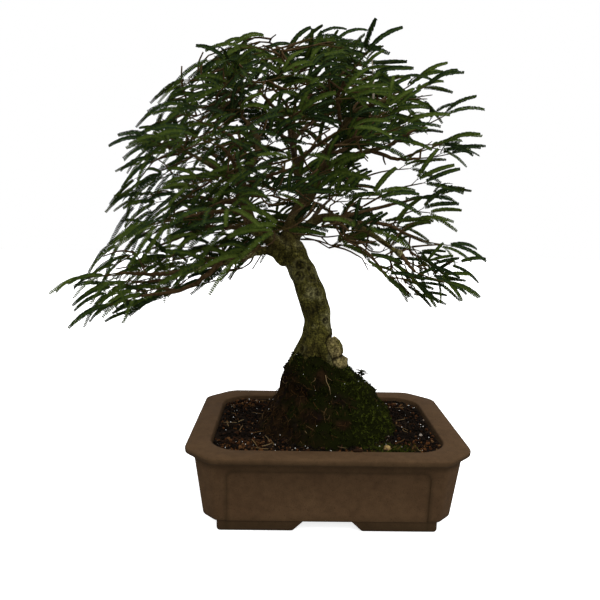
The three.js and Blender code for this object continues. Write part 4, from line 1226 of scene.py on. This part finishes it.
def rounded_stem(name, points, radii, sides=16):
    """A solid stem swept along a smooth line, as a bevelled curve turned into a mesh."""
    steps = 6 * (len(points) - 1) + 1
    shares = np.linspace(0, 1, steps)
    line = smooth_line(points, shares)
    width = smooth_line([(radius, 0, 0) for radius in radii], shares)[:, 0] if len(radii) > 2 else None
    curve = bpy.data.curves.new(name, "CURVE")
    curve.dimensions = "3D"
    curve.bevel_depth = MM
    curve.bevel_resolution = sides // 4
    curve.use_fill_caps = True
    spline = curve.splines.new("POLY")
    spline.points.add(steps - 1)
    for number, place in enumerate(line):
        spline.points[number].co = (*at(*place), 1)
        share = number / (steps - 1)
        plain = radii[0] + (radii[-1] - radii[0]) * share
        spline.points[number].radius = plain if width is None else width[number]
    stem = bpy.data.objects.new(name, curve)
    bpy.context.scene.collection.objects.link(stem)
    only(stem)
    bpy.ops.object.convert(target="MESH")
    return bpy.context.object


def scar_seats():
    """Where each scar sits: its middle, the way it faces and its radius, in millimetres."""
    seats = []
    for height, turn, radius in SCARS:
        x, y, reach = between_levels(TRUNK, height)
        out = np.array([math.cos(math.radians(turn)), math.sin(math.radians(turn)), 0.0])
        seats.append((np.array([x, y, height]) + out * reach * 0.96, out, radius))
    return seats


def burl_share(places):
    """How far each place on the wood lies inside the burl, from 0 to 1, and how deep in its creases, which
    are sunk a little and get painted shade.
    """
    upper, lower = [np.linalg.norm((places - middle) / size, axis=1) for middle, size in BURL]
    nearest = np.minimum(upper, lower)
    share = np.clip((1.32 - nearest) / 0.3, 0, 1)
    crease = np.exp(-(((upper - lower) / 0.15) ** 2)) * (nearest < 1.4)
    crease = np.maximum(crease, np.exp(-(((nearest - 1.25) / 0.11) ** 2)))
    return share, crease


def read_surface(piece):
    """The places and outward ways of a piece's points, in metres."""
    points = np.empty(len(piece.data.vertices) * 3)
    normals = np.empty(len(piece.data.vertices) * 3)
    piece.data.vertices.foreach_get("co", points)
    piece.data.vertices.foreach_get("normal", normals)
    return points.reshape(-1, 3), normals.reshape(-1, 3)


def relief(places, size, shift=0.0):
    """Smooth random relief at each place, for bumps of the given size in millimetres."""
    return np.array([noise.noise(Vector(place)) for place in places / size + shift])


def bark():
    skin = new_finish("smooth_olive_bark")
    streaks = skin.cloud(190, 5, rough=0.65, stretch=(1, 1, 0.3))
    clouds = skin.cloud(42, 4)
    flecks = skin.cloud(560, 3)
    wrinkles = skin.cloud(120, 4, twist=0.8, stretch=(1, 1, 3.4))
    tone = skin.tones(clouds, [(0.36, BARK["shade"]), (0.5, BARK["olive"]), (0.62, BARK["pale"])])
    burl = skin.tones(clouds, [(0.38, BARK["olive"]), (0.62, BARK["burl"])])
    tone = skin.mix(skin.stored("burl"), tone, burl)
    tone = skin.shade(tone, streaks, [(0.36, 0.25), (0.6, 1)])
    tone = skin.shade(tone, flecks, [(0.38, 0.35), (0.56, 1), (0.7, 1.5)])
    cracks = skin.tones(wrinkles, [(0.38, 0.5), (0.44, 1)])
    cracks = skin.mix(skin.stored("burl"), cracks, (1, 1, 1))
    tone = skin.mix(1.0, tone, cracks, "MULTIPLY")
    tone = skin.mix(skin.stored("callus"), tone, BARK["pale"])
    # The stored sunk values paint shade into the burl's creases and round its edge, and darken the cut scars.
    tone = skin.mix(skin.stored("sunk"), tone, BARK["sunk"])
    young = skin.tones(skin.split(skin.place())["Z"], [(CROWN_STARTS[0], 0), (CROWN_STARTS[1], 0.75)])
    tone = skin.mix(young, tone, BARK["limb"])
    return skin.done(tone, 0.75, gloss=0.04, relief=flecks, depth=0.7, strength=0.8)


def make_wood():
    middles = [(x, y, z) for z, x, y, _ in TRUNK]
    stems = [rounded_stem("trunk_stem", middles, [radius for *_, radius in TRUNK], 32)]
    stems += [rounded_stem("root", points, ROOT_RADII) for points in ROOTS]
    stems += [rounded_stem("limb", points, thick) for points, thick, _, _ in LIMBS if thick[0] > STOUT_LIMB]
    for middle, size in BURL:
        ball = {"segments": 32, "ring_count": 16, "radius": 1, "location": at(*middle)}
        lobe = primitive("burl_lobe", bpy.ops.mesh.primitive_uv_sphere_add, **ball)
        lobe.scale = [width * MM for width in size]
        settle(lobe)
        stems.append(lobe)
    bpy.ops.object.select_all(action="DESELECT")
    for stem in stems:
        stem.select_set(True)
    wood = stems[0]
    bpy.context.view_layer.objects.active = wood
    bpy.ops.object.join()
    wood.name = "trunk_and_limbs"
    grown = wood.modifiers.new("grown_together", "REMESH")
    grown.mode = "VOXEL"
    grown.voxel_size = WOOD_CELL * MM
    smooth = wood.modifiers.new("smooth", "SMOOTH")
    smooth.factor = 0.6
    smooth.iterations = 9
    finish_modifiers(wood)
    points, normals = read_surface(wood)
    places = measured(points)
    x, _, z = places.T
    burl, crease = burl_share(places)
    foot = np.clip((225 - z) / 60, 0, 1) * np.clip((30 - abs(x + 14)) / 8, 0, 1)
    size = np.where(z < 300, 1, 0.35)
    push = size * (1.5 + 0.9 * foot) * relief(places, (7, 7, 42))
    push += size * 1.5 * relief(places, (13, 13, 19), 5) + 0.28 * relief(places, (2.4, 2.4, 9))
    push += burl * 1.5 * relief(places, (4.5, 4.5, 4.5), 9)
    # The sunk values start from the burl's creases, which get painted shade; the scars' dark rings and
    # middles are added to them.
    callus, sunk = np.zeros(len(places)), crease
    uneven = relief(places, (4, 4, 4), 13)
    for middle, out, radius in scar_seats():
        away = places - middle
        forward = away @ out
        across = np.linalg.norm(away - forward[:, None] * out, axis=1) / radius * (1 + 0.4 * uneven)
        near = abs(forward) < 9
        callus = np.maximum(callus, near * np.exp(-(((across - 1.1) / 0.25) ** 2)))
        ring = np.exp(-(((across - 0.8) / 0.24) ** 2)) * np.clip(0.95 + 1.2 * uneven, 0.3, 1)
        core = np.clip((0.42 - across) / 0.2, 0, 1)
        worn = 0.6 * np.clip((1 - across) / 0.15, 0, 1) * np.clip(0.8 + 1.5 * uneven, 0, 1)
        sunk = np.maximum(sunk, near * np.maximum(np.maximum(ring, core), worn))
    push += 0.9 * callus - 1.3 * sunk
    points += normals * push[:, None] * MM
    wood.data.vertices.foreach_set("co", points.reshape(-1))
    wood.data.polygons.foreach_set("use_smooth", [True] * len(wood.data.polygons))
    wood.data.update()
    set_values(wood, "burl", burl)
    set_values(wood, "callus", 0.25 * callus)
    set_values(wood, "sunk", 0.96 * sunk)
    belongs(wood, bark(), "bark", "trunk")


make_wood()

# The thin limbs and twigs: brown, a little crooked, tapering to the green shoots that carry the leaves. Each
# spur leaves its limb sideways, and finer twigs fill the crown between them. One short dead twig near the top
# has bleached pale.
UPWARD = np.array([0.0, 0.0, 1.0])
SPUR = {"long": 16, "radii": (1.6, 1.3)}
CROWN_MIDDLE = np.array([-35.0, 0, 325])
TWIG_STEPS = 15
TWIG_SIDES = 7
DEAD_TWIG = [(42, -16, 446), (42, -20, 456), (41, -20, 474), (39, -20, 491)]
CROWN_EDGE = [
    (-216, 431), (-235, 384), (-256, 333), (-246, 292), (-286, 254), (-315, 234), (-289, 179), (-236, 196),
    (-186, 223), (-172, 209), (-128, 235), (-106, 244), (-75, 273), (-49, 291), (-30, 299), (5, 288),
    (34, 282), (56, 265), (75, 248), (88, 231), (122, 220), (156, 231), (165, 244), (196, 281), (169, 307),
    (152, 338), (147, 349), (162, 371), (176, 399), (117, 414), (128, 446), (158, 454), (125, 466), (84, 490),
    (74, 499), (54, 523), (28, 533), (-2, 530), (-17, 538), (-62, 526), (-101, 520), (-121, 511),
    (-144, 500), (-170, 481),
]
CROWN_DEPTH = 112
PARTING = {"low": -40, "high": -105, "least": 70, "mixed": 60}
FILL = {"tries": 16000, "apart": 26, "reach": 58, "leafy": 0.62, "far": 75}
FINE_TWIG = {"steps": 6, "sides": 4, "radii": (1.15, 0.75)}
CROWN_TOP = 430
OPEN_PLACES = [
    (120, 440, 55, 70, 1.0), (125, 350, 55, 45, 0.8), (50, 345, 40, 35, 0.2), (-235, 265, 45, 40, 0.3),
    (-215, 345, 40, 45, 0.2), (85, 262, 40, 30, -0.35),
]
TWIG = {"dark": (0.024, 0.0135, 0.005), "brown": (0.066, 0.040, 0.016), "bleached": (0.3, 0.26, 0.19)}


def outward_from(place):
    """The way leaves lean at a place: out from the middle of the crown, and a little down."""
    out = np.array(place, dtype=float) - CROWN_MIDDLE
    out[2] *= 0.8 if out[2] > 0 else 0.3
    return out / np.linalg.norm(out)


def spur_of(points, share, index):
    start, ahead = smooth_line(points, [share, share + 0.002])
    along = unit(ahead - start)
    side = np.cross(along, [0, 0, 1]) * (1 if index % 2 else -1)
    heading = unit(along * 0.5 + side * 0.7 + np.array([0, 0, 0.25]) + 0.3 * outward_from(start))
    return start, start + heading * SPUR["long"]


def twig_bark():
    twig = new_finish("twig_bark")
    grain = twig.cloud(260, 3)
    tone = twig.tones(grain, [(0.32, TWIG["dark"]), (0.62, TWIG["brown"])])
    tone = twig.mix(twig.stored("pale"), tone, TWIG["bleached"])
    return twig.done(tone, 0.75, gloss=0.04, relief=grain, depth=0.3, strength=0.6)


def inside_outline(place):
    """Whether a place lies inside the crown's outline, as it is seen from the front."""
    eye = np.array(CAMERA_PLACE, dtype=float)
    x, _, z = eye + (place - eye) * eye[1] / (eye[1] - place[1])
    inside = False
    for (x1, z1), (x2, z2) in zip(CROWN_EDGE, CROWN_EDGE[1:] + CROWN_EDGE[:1]):
        if (z1 > z) != (z2 > z) and x < x1 + (x2 - x1) * (z - z1) / (z2 - z1):
            inside = not inside
    return inside


def inside_crown(place):
    """Whether a place lies inside the crown's outline and inside its depth."""
    away = ((place[0] - CROWN_MIDDLE[0]) / 215) ** 2 + ((place[2] - 350) / 190) ** 2
    return abs(place[1]) < CROWN_DEPTH * math.sqrt(max(0.12, 1 - away)) and inside_outline(place)


def flow(place):
    """The way leaves stream at a place: down at the left, up at the top, and nearly level at the right."""
    x, y, z = place
    upper = min(1, max(0, (z - 300) / 180))
    across = x - PARTING["low"] - (PARTING["high"] - PARTING["low"]) * upper
    across += PARTING["mixed"] * math.sin(x + 1.7 * y + 2.3 * z)
    flat = np.array([math.copysign(max(PARTING["least"], abs(across)), across), 0.4 * y, 0.0])
    away = float(np.linalg.norm(flat))
    if across < 0:
        rise = -10 - 22 * min(1, away / 170)
    else:
        rise = 36 - 34 * min(1, away / 140) - 12 * min(1, max(0, (300 - z) / 60))
    rise = math.radians(rise)
    return flat / away * math.cos(rise) + np.array([0, 0, math.sin(rise)])


def fill_crown(wood, draws):
    """More twigs, spread evenly through the crown, each from the wood that lies best for it."""
    low, high = np.array([-250, -CROWN_DEPTH, 215]), np.array([140, CROWN_DEPTH, 515])
    seats = []
    for place in low + (high - low) * draws.random((FILL["tries"], 3)):
        top = min(1, max(0, (place[2] - CROWN_TOP) / 30))
        ahead = place + flow(place) * FILL["reach"] * (1 - 0.15 * top) - UPWARD * 10 * (1 - top)
        if not inside_crown(place) or not inside_crown(ahead * [1, 0.8, 1]):
            continue
        apart = FILL["apart"] * (1 - 0.2 * top)
        for x, z, wide, tall, more in OPEN_PLACES:
            apart *= 1 + more * math.exp(-(((place[0] - x) / wide) ** 2) - ((place[2] - z) / tall) ** 2)
        if seats and min(np.linalg.norm(np.array(seats) - place, axis=1)) < apart:
            continue
        seats.append(place)
    seats.sort(key=lambda seat: np.linalg.norm(wood - seat, axis=1).min())
    lines = []
    for seat in seats:
        way = flow(seat)
        gap = seat - wood
        far = np.linalg.norm(gap, axis=1)
        if far.min() > FILL["far"]:
            continue
        cost = far * (1.7 - 0.9 * (gap @ way) / np.maximum(far, 1e-6))
        cost[far < 6] = 1e6
        start = wood[int(np.argmin(cost))]
        long = np.linalg.norm(seat - start)
        agree = 0.5 * max(0, float((seat - start) @ way) / max(long, 1e-6))
        middle = (start + seat) / 2 * (1 - agree) + (seat - way * min(0.5 * long, 18)) * agree
        if not inside_outline(middle - UPWARD * 6):
            middle = (start + seat) / 2 + UPWARD * 0.08 * long
        middle += draws.normal(0, 0.03 * long, 3)
        line = smooth_line([start, middle, seat], np.linspace(0, 1, FINE_TWIG["steps"]))
        lines.append(line)
        wood = np.concatenate([wood, line[2:]])
    return np.array(lines)


def make_twigs():
    """Draws every thin limb, spur and twig. Returns the limbs' tips and the lines of the finest twigs."""
    draws = np.random.default_rng(73)
    lines, radii, tips, wood = [], [], [], []
    shares = np.linspace(0, 1, TWIG_STEPS)
    for index, (points, thick, spurs, forks) in enumerate(LIMBS):
        line = smooth_line(points, shares)
        wood.append(line[3:])
        if thick[0] <= STOUT_LIMB:
            crook = draws.normal(0, 0.55, (TWIG_STEPS, 3)) * np.sin(math.pi * shares)[:, None]
            lines.append(line + crook)
            radii.append(thick[0] + (thick[1] - thick[0]) * shares)
        if not forks:
            tips.append((line[-1], unit(line[-1] - smooth_line(points, [0.995])[0])))
        for share in spurs:
            start, end = spur_of(points, share, index)
            lines.append(start + (end - start) * shares[:, None])
            wood.append(lines[-1])
            radii.append(SPUR["radii"][0] + (SPUR["radii"][1] - SPUR["radii"][0]) * shares)
            tips.append((end, unit(end - start)))
    lines.append(smooth_line(DEAD_TWIG, shares))
    radii.append(1.5 - 0.9 * shares)
    fine = fill_crown(np.concatenate(wood), draws)
    thick, thin = FINE_TWIG["radii"]
    fine_radii = np.ones((len(fine), 1)) * (thick + (thin - thick) * np.linspace(0, 1, FINE_TWIG["steps"]))
    stouter = strands(placed(np.array(lines)), np.array(radii) * MM, TWIG_SIDES)
    finer = strands(placed(fine), fine_radii * MM, FINE_TWIG["sides"])
    twigs = mesh_piece("thin_limbs_and_twigs", *gathered([stouter, finer]))
    dead = TWIG_STEPS * TWIG_SIDES
    set_values(twigs, "pale", [0.0] * (len(stouter[0]) - dead) + [1.0] * dead + [0.0] * len(finer[0]))
    belongs(twigs, twig_bark(), "bark")
    return tips, fine


tips, fine_twigs = make_twigs()

# The leaves: each stands on a short stalk that forks into two feathers, and each feather carries some two
# dozen pairs of thin oblong leaflets, dark green above. They arch up from the shoot and droop outwards.
PINNA = {
    "long": 40,
    "bare": 0.08,
    "arch": 0.1,
    "droop": (0.28, 0.14),
    "pairs": 26,
    "steps": 6,
    "rachis": 0.36,
}
LEAFLET = {
    "long": 2.85,
    "wide": 1.24,
    "thick": 0.12,
    "lean": 65,
    "lift": 17,
    "overlap": 9,
    # Painted light on each leaflet, by corner: a painted highlight near its base by the feather's stalk, and
    # painted shade towards its tip.
    "painted_highlight_and_shade": (0.08, -0.16, -0.34, 0.08),
    "least_tint": 0.13,
    "corners": [(0, -0.3, 1), (0.78, -1, -1), (1, 0.2, 1), (0.18, 1, -1)],
}
PETIOLE = {"long": 9, "radius": 0.55}
SHOOT = {"long": 30, "radius": 0.8, "side_leaf": 0.51}
NO_LEAF_AT = 35
HANG = {"below": 345, "right_of": 5, "blend": 25, "share": 0.65, "pull": 1.7}
CROWN_MARGIN = 9
STEM_GREEN = (0.038, 0.026, 0.007)
# The darkest stops are reached mostly at the leaflets' tips, through the painted shade there.
LEAF_TONES = [
    (0.0, STEM_GREEN),
    (0.08, STEM_GREEN),
    (0.14, (0.004, 0.007, 0.0010)),
    (0.34, (0.013, 0.026, 0.0080)),
    (0.55, (0.027, 0.043, 0.0048)),
    (0.95, (0.053, 0.077, 0.0120)),
]
crown_low = measured(np.array(solid_box[0])) - CROWN_MARGIN
crown_high = measured(np.array(solid_box[1])) + CROWN_MARGIN


def seeded(seed):
    """Draws between 0 and 1 that come out the same every time."""
    state = seed
    while True:
        state = (state * 1664525 + 1013904223) % 4294967296
        yield state / 4294967296


def turned(vector, axis, degrees):
    """A direction turned about an axis."""
    angle = math.radians(degrees)
    spin = vector * math.cos(angle) + np.cross(axis, vector) * math.sin(angle)
    return spin + axis * (axis @ vector) * (1 - math.cos(angle))


def level_frame(heading, lift):
    """A heading with the lift and side that go with it."""
    heading = unit(heading)
    side = unit(np.cross(heading, lift))
    return heading, side, np.cross(side, heading)


def shoot_bend(start, middle, end, share):
    place = (1 - share) ** 2 * start + 2 * share * (1 - share) * middle + share**2 * end
    way = unit(2 * (1 - share) * (middle - start) + 2 * share * (end - middle))
    return place, way


def add_leaf(spray, fork, heading, lift, size, spread, tint, face, loose=False):
    """One leaf: two feathers that part at the end of the stalk. A loose one stays inside the outline."""
    rightward = min(1, max(0, (fork[0] + 90) / 120))
    droop = PINNA["droop"][0] + (PINNA["droop"][1] - PINNA["droop"][0]) * rightward
    for hand in (1, -1):
        way = unit(turned(heading, lift, hand * spread))
        up = level_frame(way, face)[2]
        long = PINNA["long"] * size
        tip = fork + way * long - np.array([0, 0, droop * long])
        over = np.maximum(crown_low - tip, 0) + np.maximum(tip - crown_high, 0)
        long -= float(over.max()) * 1.15
        if long < 22 or (loose and not inside_outline(tip)):
            continue
        spray["pinnae"].append((fork, way, up, long, droop, tint))


def add_shoot(spray, start, along, outward, draws, index, long, lean=0.35, sizes=1.0):
    """One green shoot with a leaf at its side and a leaf at its end."""
    middle = start + along * long * 0.45
    end = middle + outward * long * lean + along * long * (0.6 - lean)
    roll = 50 * (next(draws) - 0.5)
    hand = 1 if index % 2 else -1
    side_turn = 48 + 12 * next(draws)
    leaves = []
    for share, base in ((SHOOT["side_leaf"], 0.88), (1, 0.92)):
        leaves.append((share, sizes * (base + 0.18 * next(draws)), 21 + 6 * next(draws)))
    places = [shoot_bend(start, middle, end, share)[0] for share in np.linspace(0, 1, 5)]
    spray["stems"].append((np.array(places), SHOOT["radius"]))
    for share, size, spread in leaves:
        place, way = shoot_bend(start, middle, end, share)
        heading, _, lift = level_frame(way, np.array([0, 0, 1.0]))
        lift = turned(lift, heading, roll)
        if share < 1:
            heading = turned(heading, lift, -hand * side_turn)
            fork = place + heading * PETIOLE["long"]
            spray["stems"].append((np.linspace(place, fork, 5), PETIOLE["radius"]))
        else:
            fork = place
        face = UPWARD * 0.6 + np.array([0.4 * roll / 25, 1.0 if start[1] > 40 else -1.0, 0])
        add_leaf(spray, fork, heading, lift, size, spread, next(draws), face)


def pinna_lines(pinnae, shares):
    """Places along many feathers at once: feathers x shares x 3, in millimetres."""
    fork, way, up, long, droop, _ = pinnae
    shares = shares[None, :, None]
    rise = PINNA["arch"] * np.sin(math.pi * shares)
    fall = droop[:, None, None] * shares**2
    return fork[:, None] + long[:, None, None] * (way[:, None] * shares + up[:, None] * rise - UPWARD * fall)


def leaflets(pinnae, draws):
    """All leaflets of many feathers: closed blades of four faces, side by side, ridged along the top."""
    pairs = PINNA["pairs"]
    shares = PINNA["bare"] + (1 - PINNA["bare"]) * (np.arange(pairs) + 0.5) / pairs
    places = pinna_lines(pinnae, shares)
    ahead = unit(pinna_lines(pinnae, shares + 0.01) - places)
    side = unit(np.cross(ahead, pinnae[2][:, None]))
    up = np.cross(side, ahead)
    grown = 0.5 + 0.5 * np.sin(math.pi * np.clip((shares - 0.02) * 0.93 + 0.05, 0, 1)) ** 0.7
    count = len(pinnae[0])
    fullness = 0.82 + 0.3 * draws.random((count, 1, 1))
    tilt = math.radians(LEAFLET["overlap"])
    size = (pinnae[3] / PINNA["long"])[:, None, None]
    groups, tints = [], []
    for hand in (-1, 1):
        lean = LEAFLET["lean"] + draws.normal(0, 3, (count, pairs, 1)) - 16 * shares[None, :, None]
        lean = np.radians(lean)
        rise = np.radians(LEAFLET["lift"] + draws.normal(0, 5, (count, pairs, 1)))
        out = np.cos(lean) * ahead + np.sin(lean) * (np.cos(rise) * side * hand + np.sin(rise) * up)
        toward = unit(ahead - out * np.sum(out * ahead, axis=2, keepdims=True))
        toward = math.cos(tilt) * toward + math.sin(tilt) * hand * np.cross(out, toward)
        flat = np.cross(out, toward) * hand
        long = LEAFLET["long"] * size * grown[None, :, None] * (1 + draws.normal(0, 0.05, (count, pairs, 1)))
        wide = LEAFLET["wide"] * size * fullness * (0.85 + 0.15 * grown)[None, :, None]
        corners = []
        for share, offset, face in LEAFLET["corners"]:
            corner = places + out * long * share + toward * wide * offset
            corners.append(corner + flat * LEAFLET["thick"] * face)
        groups.append(np.stack(corners, axis=2))
        tints.append(pinnae[5][:, None] + draws.normal(0, 0.09, (count, pairs)))
    points = np.stack(groups, axis=2).reshape(-1, 3)
    tint = np.repeat(np.stack(tints, axis=2).reshape(-1), 4)
    # Painted highlight at each leaflet's base and painted shade towards its tip, added to the leaflet's own
    # tint.
    tint = np.maximum(LEAFLET["least_tint"], tint + np.tile(LEAFLET["painted_highlight_and_shade"], len(tint) // 4))
    left = [(0, 2, 1), (0, 3, 2), (0, 1, 3), (1, 2, 3)]
    right = [(4, 5, 6), (4, 6, 7), (4, 7, 5), (5, 7, 6)]
    pair = np.array(left + right)
    faces = (pair[None] + 8 * np.arange(len(points) // 8)[:, None, None]).reshape(-1, 3)
    return points, faces, tint


def leaf_green():
    leaf = new_finish("feather_leaf")
    return leaf.done(leaf.tones(leaf.stored("tint"), LEAF_TONES), 0.65, gloss=0.03)


feather_leaf = leaf_green()


def add_loose_shoot(spray, start, draws):
    """One of the shoots between the tips: it streams outwards, or hangs where it is low at the right."""
    loose = np.array([next(draws) - 0.5, next(draws) - 0.5, next(draws) - 0.5])
    slack = min(1, max(0, (HANG["below"] - start[2]) / HANG["blend"]))
    slack *= min(1, max(0, (start[0] - HANG["right_of"]) / HANG["blend"]))
    slack *= 1 if next(draws) < HANG["share"] else 0
    along = unit(flow(start) + 0.75 * loose - HANG["pull"] * slack * UPWARD)
    long = (12 + 12 * next(draws)) * (1 - 0.4 * slack)
    end = start + along * long
    spray["stems"].append((np.linspace(start, end, 5), SHOOT["radius"]))
    face = 1 if start[1] + 60 * (next(draws) - 0.5) > 0 else -1
    lean = np.array([next(draws) - 0.5, 1.5 * face, next(draws) - 0.5])
    heading, _, lift = level_frame(along, 0.55 * UPWARD + lean)
    hand = 1 if np.cross(lift, heading)[2] * (next(draws) - 0.2) < 0 else -1
    for share, turn in ((0.35, 34), (1, 0)):
        place = start + along * long * share
        way = turned(heading, lift, -hand * turn)
        fork = place + way * PETIOLE["long"] * (0.8 if turn else 0.2)
        spray["stems"].append((np.linspace(place, fork, 5), PETIOLE["radius"]))
        size = 0.74 + 0.46 * next(draws) - 0.1 * slack
        spread = 13 + 9 * next(draws) + 10 * slack
        add_leaf(spray, fork, way, lift, size, spread, next(draws), lift, loose=True)


def dress_spray(number, tip, along, seats):
    """All shoots and leaves round one twig's tip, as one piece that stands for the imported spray."""
    draws = seeded(500 + 17 * (number - 1))
    spray = {"pinnae": [], "stems": []}
    long = SHOOT["long"] * (0.75 + 0.5 * next(draws))
    along = unit(along + 0.7 * flow(tip))
    add_shoot(spray, tip, along, outward_from(tip), draws, number - 1, long, sizes=1.02)
    for seat in seats:
        add_loose_shoot(spray, seat, draws)
    columns = list(zip(*spray["pinnae"]))
    pinnae = [np.array(column) for column in columns]
    pinnae[5] = 0.24 + 0.66 * pinnae[5]
    random = np.random.default_rng(900 + number)
    *blades, tint = leaflets(pinnae, random)
    parts = [blades]
    shares = np.linspace(0, 1, PINNA["steps"])
    rachis = pinna_lines(pinnae, shares)
    radii = PINNA["rachis"] * (1 - 0.6 * shares) * np.ones((len(rachis), 1))
    stems = np.array([line for line, _ in spray["stems"]])
    tapering = np.array([1 - 0.25 * step / 4 for step in range(5)])
    stem_radii = np.array([radius * tapering for _, radius in spray["stems"]])
    for lines, widths, sides, value in ((rachis, radii, 3, 0.1), (stems, stem_radii, 5, 0.02)):
        parts.append(strands(lines, widths, sides))
        tint = np.concatenate([tint, np.full(len(parts[-1][0]), value)])
    points, faces = gathered(parts)
    piece = mesh_piece("leaves_%02d" % number, placed(points), faces, smooth=False)
    set_values(piece, "tint", tint)
    belongs(piece, feather_leaf, "leaf", "spray_%02d" % number)


tip_places = np.array([tip for tip, _ in tips])
tip_places[NO_LEAF_AT - 1] = 1e4
seats_of_tips = [[] for _ in tips]
leafy_twigs = fine_twigs[(np.arange(len(fine_twigs)) * 0.618) % 1 < FILL["leafy"]]
for twig in leafy_twigs:
    nearest = int(np.linalg.norm(tip_places - twig[-1], axis=1).argmin())
    seats_of_tips[nearest].append(twig[-1])
for number, (tip, along) in enumerate(tips, 1):
    if number != NO_LEAF_AT:
        dress_spray(number, tip, along, seats_of_tips[number - 1])

# The weed: one seedling rooted in the right side of the mound, with thin stems and small oval dark leaves.
WEED_FOOT = (40, -6, 124)
WEED_TOP = (42, -7, 152)
WEED_TURNS = [-20, 75, 165, 250, 30, 120, 210, 300]
WEED_BLADE = {"long": 8.6, "wide": 3.3, "cup": 0.7, "points": 14}
WEED = {"dark": (0.010, 0.012, 0.006), "green": (0.030, 0.034, 0.014)}


def weed_leaf_green():
    blade = new_finish("seedling_leaf")
    tone = blade.tones(blade.cloud(240), [(0.35, WEED["dark"]), (0.65, WEED["green"])])
    return blade.done(tone, 0.6, gloss=0.05)


def weed_blade(seat, heading, long):
    """One small oval leaf, cupped along its middle and closed below."""
    across = unit(np.cross([0, 0, 1], heading))
    up = np.cross(heading, across)
    count = WEED_BLADE["points"]
    rim = []
    for step in range(count):
        turn = 2 * math.pi * step / count
        share = 0.5 - 0.5 * math.cos(turn)
        aside = math.sin(turn) * WEED_BLADE["wide"] * (1.1 - 0.35 * share)
        cup = WEED_BLADE["cup"] * (aside / WEED_BLADE["wide"]) ** 2 - 1.6 * share**2
        rim.append(seat + heading * (long * share) + across * aside + up * cup)
    middle = seat + heading * long * 0.45 - up * 0.3
    faces = []
    for step in range(count):
        after = (step + 1) % count
        faces += [(count, step, after), (count + 1, after, step)]
    return np.array(rim + [middle + up * 0.35, middle - up * 0.35]), np.array(faces)


def make_weed():
    foot, top = np.array(WEED_FOOT, dtype=float), np.array(WEED_TOP, dtype=float)
    shares = np.linspace(0, 1, 9)
    stem = foot + (top - foot) * shares[:, None]
    stem[:, 0] += 0.8 * np.sin(shares * 5)
    parts = [strands(stem[None], 0.75 * (1 - 0.35 * shares)[None], 6)]
    for number, turn in enumerate(WEED_TURNS):
        angle = math.radians(turn)
        low = number >= 4
        share = (0.5 + 0.07 * number) * 0.9 if low else 0.78 + 0.05 * number
        heading = unit(np.array([math.cos(angle), math.sin(angle), 0.35]))
        long = WEED_BLADE["long"] * (0.75 if low else 1)
        parts.append(weed_blade(foot + (top - foot) * share, heading, long))
    points, faces = gathered(parts)
    weed = mesh_piece("weed_seedling", placed(points), faces)
    belongs(weed, weed_leaf_green(), "weed", "weed_sprout")


make_weed()
